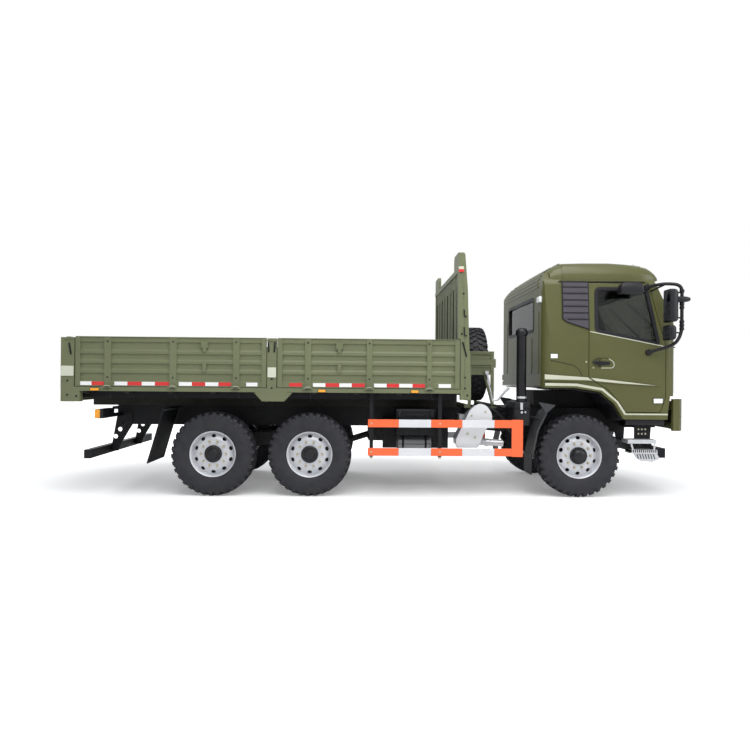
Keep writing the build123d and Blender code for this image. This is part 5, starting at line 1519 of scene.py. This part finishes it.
# %% Rails, springs, brakes and shaft
RAIL_Y = 0.436
RAIL_BOLT_COUNT, RAIL_BOLT_PITCH = 46, 0.160
CHAMBER_PROFILE = ((-0.080, 0.040), (-0.070, 0.078), (-0.006, 0.082), (0.006, 0.082), (0.070, 0.078),
                   (0.085, 0.050))
rail_bolts = Shape()
for hand, side in SIDES:
    for step in range(RAIL_BOLT_COUNT):
        bolt_x = -3.560 + RAIL_BOLT_PITCH * step
        for bolt_z in (0.915, 1.095):
            rail_bolts.turned((bolt_x, side * RAIL_Y, bolt_z), (0, side, 0),
                              ((-0.003, 0.011), (0.008, 0.010)), steps=6)
rail_bolts.make("rail_bolts", CAST, "chassis")
spring_trim = Shape()
for hand, side in SIDES:
    for leaf in range(5):
        leaf_z = 0.6225 + 0.014 * leaf
        spring_trim.bar((2.480, 2.776), span(side, 0.384, 0.476), (leaf_z, leaf_z + 0.0125))
    for clamp_x in (2.540, 2.716):
        spring_trim.bar((clamp_x - 0.012, clamp_x + 0.012), span(side, 0.378, 0.482), (0.540, 0.706))
    for leaf in range(8):
        leaf_z = 0.612 + 0.0205 * leaf
        half = 0.640 - 0.066 * leaf
        spring_trim.bar((-1.527 - half, -1.527 + half), span(side, 0.488, 0.592), (leaf_z, leaf_z + 0.0175))
    for clamp_x in (-1.607, -1.447):
        spring_trim.bar((clamp_x - 0.014, clamp_x + 0.014), span(side, 0.484, 0.596), (0.605, 0.800))
spring_trim.make("spring_leaves", CAST, "chassis", bevel=0.002)
chambers = Shape()
for hand, side in SIDES:
    for axle_x in (-0.902, -2.152):
        chambers.turned((axle_x + 0.190, side * 0.720, 0.640), (1, 0, 0), CHAMBER_PROFILE, steps=28)
        chambers.bar((axle_x + 0.050, axle_x + 0.120), span(side, 0.700, 0.740), (0.560, 0.660))
chambers.make("brake_chambers", CAST, "chassis", smooth=50)
shafts = Shape()
shafts.turned((0, 0, 0.573), (1, 0, 0), ((-1.850, 0.045), (-1.060, 0.045)), steps=28)
shafts.make("middle_shaft", CHASSIS, "chassis", smooth=50)
print("rails and springs dressed")

# %% Flaps, valance, arch liners and bumper line
FRONT_FLAP = ((1.985, 0.560), (1.996, 0.560), (1.990, 0.300), (1.979, 0.300))
# Columns: x, z down the rubber flap behind the last wheel
REAR_FLAP = ((-2.770, 1.136), (-2.974, 0.421))
FLAP_THICKNESS = 0.017
ARCH_LINE = ((2.200, 1.425), (2.540, 1.425), (2.865, 1.376), (3.045, 1.225), (3.168, 1.024))
LINER_Y, LINER_THICKNESS = 0.640, 0.012
BUMPER_FACE = ((3.925, 1.168), (3.992, 1.090), (4.010, 0.970))
# Columns: share of the stand-off, height round the bumper's seam
SEAM_SECTION = ((-2, 1.062), (1, 1.062), (1, 1.070), (-2, 1.070))

for hand, side in SIDES:
    flap = Shape()
    flap.plate([(x, side * 0.795, z) for x, z in FRONT_FLAP], (0, side * 0.360, 0))
    flap.make(f"front_flap_{hand}", CHASSIS, "chassis")
    rear_flap = Shape()
    flap_back = [(x - FLAP_THICKNESS, z) for x, z in reversed(REAR_FLAP)]
    rear_flap.plate([(x, side * 0.480, z) for x, z in (*REAR_FLAP, *flap_back)], (0, side * 0.654, 0))
    rear_flap.make(f"rear_flap_{hand}", CHASSIS, "chassis", smooth=50)
    rib = Shape()
    for low, high in (((2.178, 1.100), (2.068, 0.880)), ((2.068, 0.880), (1.998, 0.550))):
        strip(rib, (low, high), 0.022, 0.004, on_flat_side(side, 1.150))
    rib.make(f"mudguard_rim_{hand}", MUDGUARD_GREY, "chassis", bevel=0.002)
    bars(f"valance_{hand}", PLASTIC, "cab", ((3.225, 3.740), span(side, 1.085, 1.140), (0.955, 1.029)),
         bevel=0.006)
    arch = Shape()
    for (start_x, start_z), (end_x, end_z) in zip(ARCH_LINE, ARCH_LINE[1:]):
        section = ((start_x, start_z), (end_x, end_z), (end_x, end_z - LINER_THICKNESS),
                   (start_x, start_z - LINER_THICKNESS))
        arch.plate([(x, side * LINER_Y, z) for x, z in section], (0, side * 0.500, 0))
    arch.make(f"arch_liner_{hand}", PLASTIC, "cab", smooth=60)
bumper_line = Shape()
for hand, side in SIDES:
    outward = Vector((1.0, side * 0.9, 0)).normalized() * 0.0015
    bumper_line.rings([[Vector((x, side * y, z)) + outward * reach for reach, z in SEAM_SECTION]
                       for x, y in BUMPER_FACE])
bumper_line.make("bumper_seams", HUB_BLACK, "chassis")
print("chassis dressed")

# %% [markdown]
# ## Cab interior
# Soft seats show through the glass, so they are crowned cushions with a head rest on a plastic
# pedestal. They replace the plain solids of the CAD model, and so does the steering wheel's ring.

# %% Seats
CUSHION_CUTS, CUSHION_POWER = 11, 7


def cushion(name, centre, half, tilt, crown, crown_axis):
    """A padded block with round edges whose one face swells."""
    mesh = bpy.data.meshes.new(name)
    block = bmesh.new()
    bmesh.ops.create_cube(block, size=2)
    bmesh.ops.subdivide_edges(block, edges=block.edges, cuts=CUSHION_CUTS, use_grid_fill=True)
    for corner in block.verts:
        flat = corner.co.copy()
        size = sum(abs(value) ** CUSHION_POWER for value in flat) ** (1 / CUSHION_POWER)
        others = [flat[axis] for axis in range(3) if axis != crown_axis]
        point = Vector((flat.x * half[0], flat.y * half[1], flat.z * half[2])) / size
        if flat[crown_axis] > 0:
            point[crown_axis] += crown * (1 - others[0] ** 2) * (1 - others[1] ** 2)
        corner.co = point
    block.to_mesh(mesh)
    block.free()
    mesh.materials.append(SEAT_CLOTH)
    piece = add_object(name, mesh)
    piece.matrix_world = Matrix.Translation(centre) @ Matrix.Rotation(tilt, 4, "Y")
    smooth_mesh(mesh, 60)
    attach(piece, "cab")
    return piece


def add_seat(hand, side):
    y = side * 0.600
    base = cushion(f"seat_cushion_{hand}", Vector((2.985, y, 1.850)), (0.262, 0.245, 0.062), -0.06, 0.022, 2)
    cushion(f"seat_back_{hand}", Vector((2.745, y, 2.240)), (0.062, 0.235, 0.330), -0.13, 0.024, 0)
    cushion(f"head_rest_{hand}", Vector((2.690, y, 2.630)), (0.045, 0.140, 0.070), -0.13, 0.014, 0)
    pedestal = Shape()
    corners = ((2.720, y - 0.200), (3.220, y - 0.200), (3.220, y + 0.200), (2.720, y + 0.200))
    pedestal.rings(at_heights(rounded_loop(corners, 0.05), (1.500, 1.795)))
    for post_y in (y - 0.060, y + 0.060):
        pedestal.tube(((2.725, post_y, 2.520), (2.694, post_y, 2.620)), 0.007, steps=8)
    pedestal.make(f"seat_pedestal_{hand}", PLASTIC, "cab", bevel=0.008)
    return base


seat_pieces = [add_seat(hand, side) for hand, side in SIDES]
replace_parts(seat_pieces[0], "seats")
print("seats placed")

# %% Steering wheel and gear lever
WHEEL_AXIS = Vector((-0.82, 0, 0.57)).normalized()
WHEEL_SIDE = Vector((0, 1, 0))
WHEEL_UP = WHEEL_AXIS.cross(WHEEL_SIDE)
WHEEL_CENTRE = Vector((3.440, 0.600, 1.990)) + WHEEL_AXIS * 0.013
RING_RADIUS, RING_TUBE = 0.210, 0.015
BOSS_PROFILE = ((-0.150, 0.030), (-0.030, 0.040), (-0.012, 0.070), (0.014, 0.070), (0.024, 0.050),
                (0.026, 0.002))
KNOB_PROFILE = ((-0.035, 0.016), (-0.010, 0.030), (0.020, 0.030), (0.036, 0.012))

wheel_ring = Shape()
ring_loops = []
for turn_cos, turn_sin in circle(64):
    outward = WHEEL_SIDE * turn_cos + WHEEL_UP * turn_sin
    ring_loops.append([WHEEL_CENTRE + outward * (RING_RADIUS + RING_TUBE * c) + WHEEL_AXIS * RING_TUBE * s
                       for c, s in circle(12)])
wheel_ring.rings([*ring_loops, ring_loops[0]], closed_ends=False)
wheel_ring.turned(WHEEL_CENTRE, WHEEL_AXIS, BOSS_PROFILE, steps=32)
for spoke in (0, math.pi, math.pi * 1.5):
    outward = WHEEL_SIDE * math.cos(spoke) + WHEEL_UP * math.sin(spoke)
    wheel_ring.tube((WHEEL_CENTRE + outward * 0.05, WHEEL_CENTRE + outward * 0.205), 0.013, steps=10)
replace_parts(wheel_ring.make("steering_ring", HUB_BLACK, "steering_wheel", smooth=50), "steering_wheel")
gear = Shape()
gear.tube(((3.250, 0.050, 1.500), (3.230, 0.050, 1.760)), 0.012, steps=10)
gear.turned((3.230, 0.050, 1.785), (0, 0, 1), KNOB_PROFILE, steps=20)
gear.make("gear_lever", PLASTIC, "cab", smooth=60)
print("steering wheel placed")
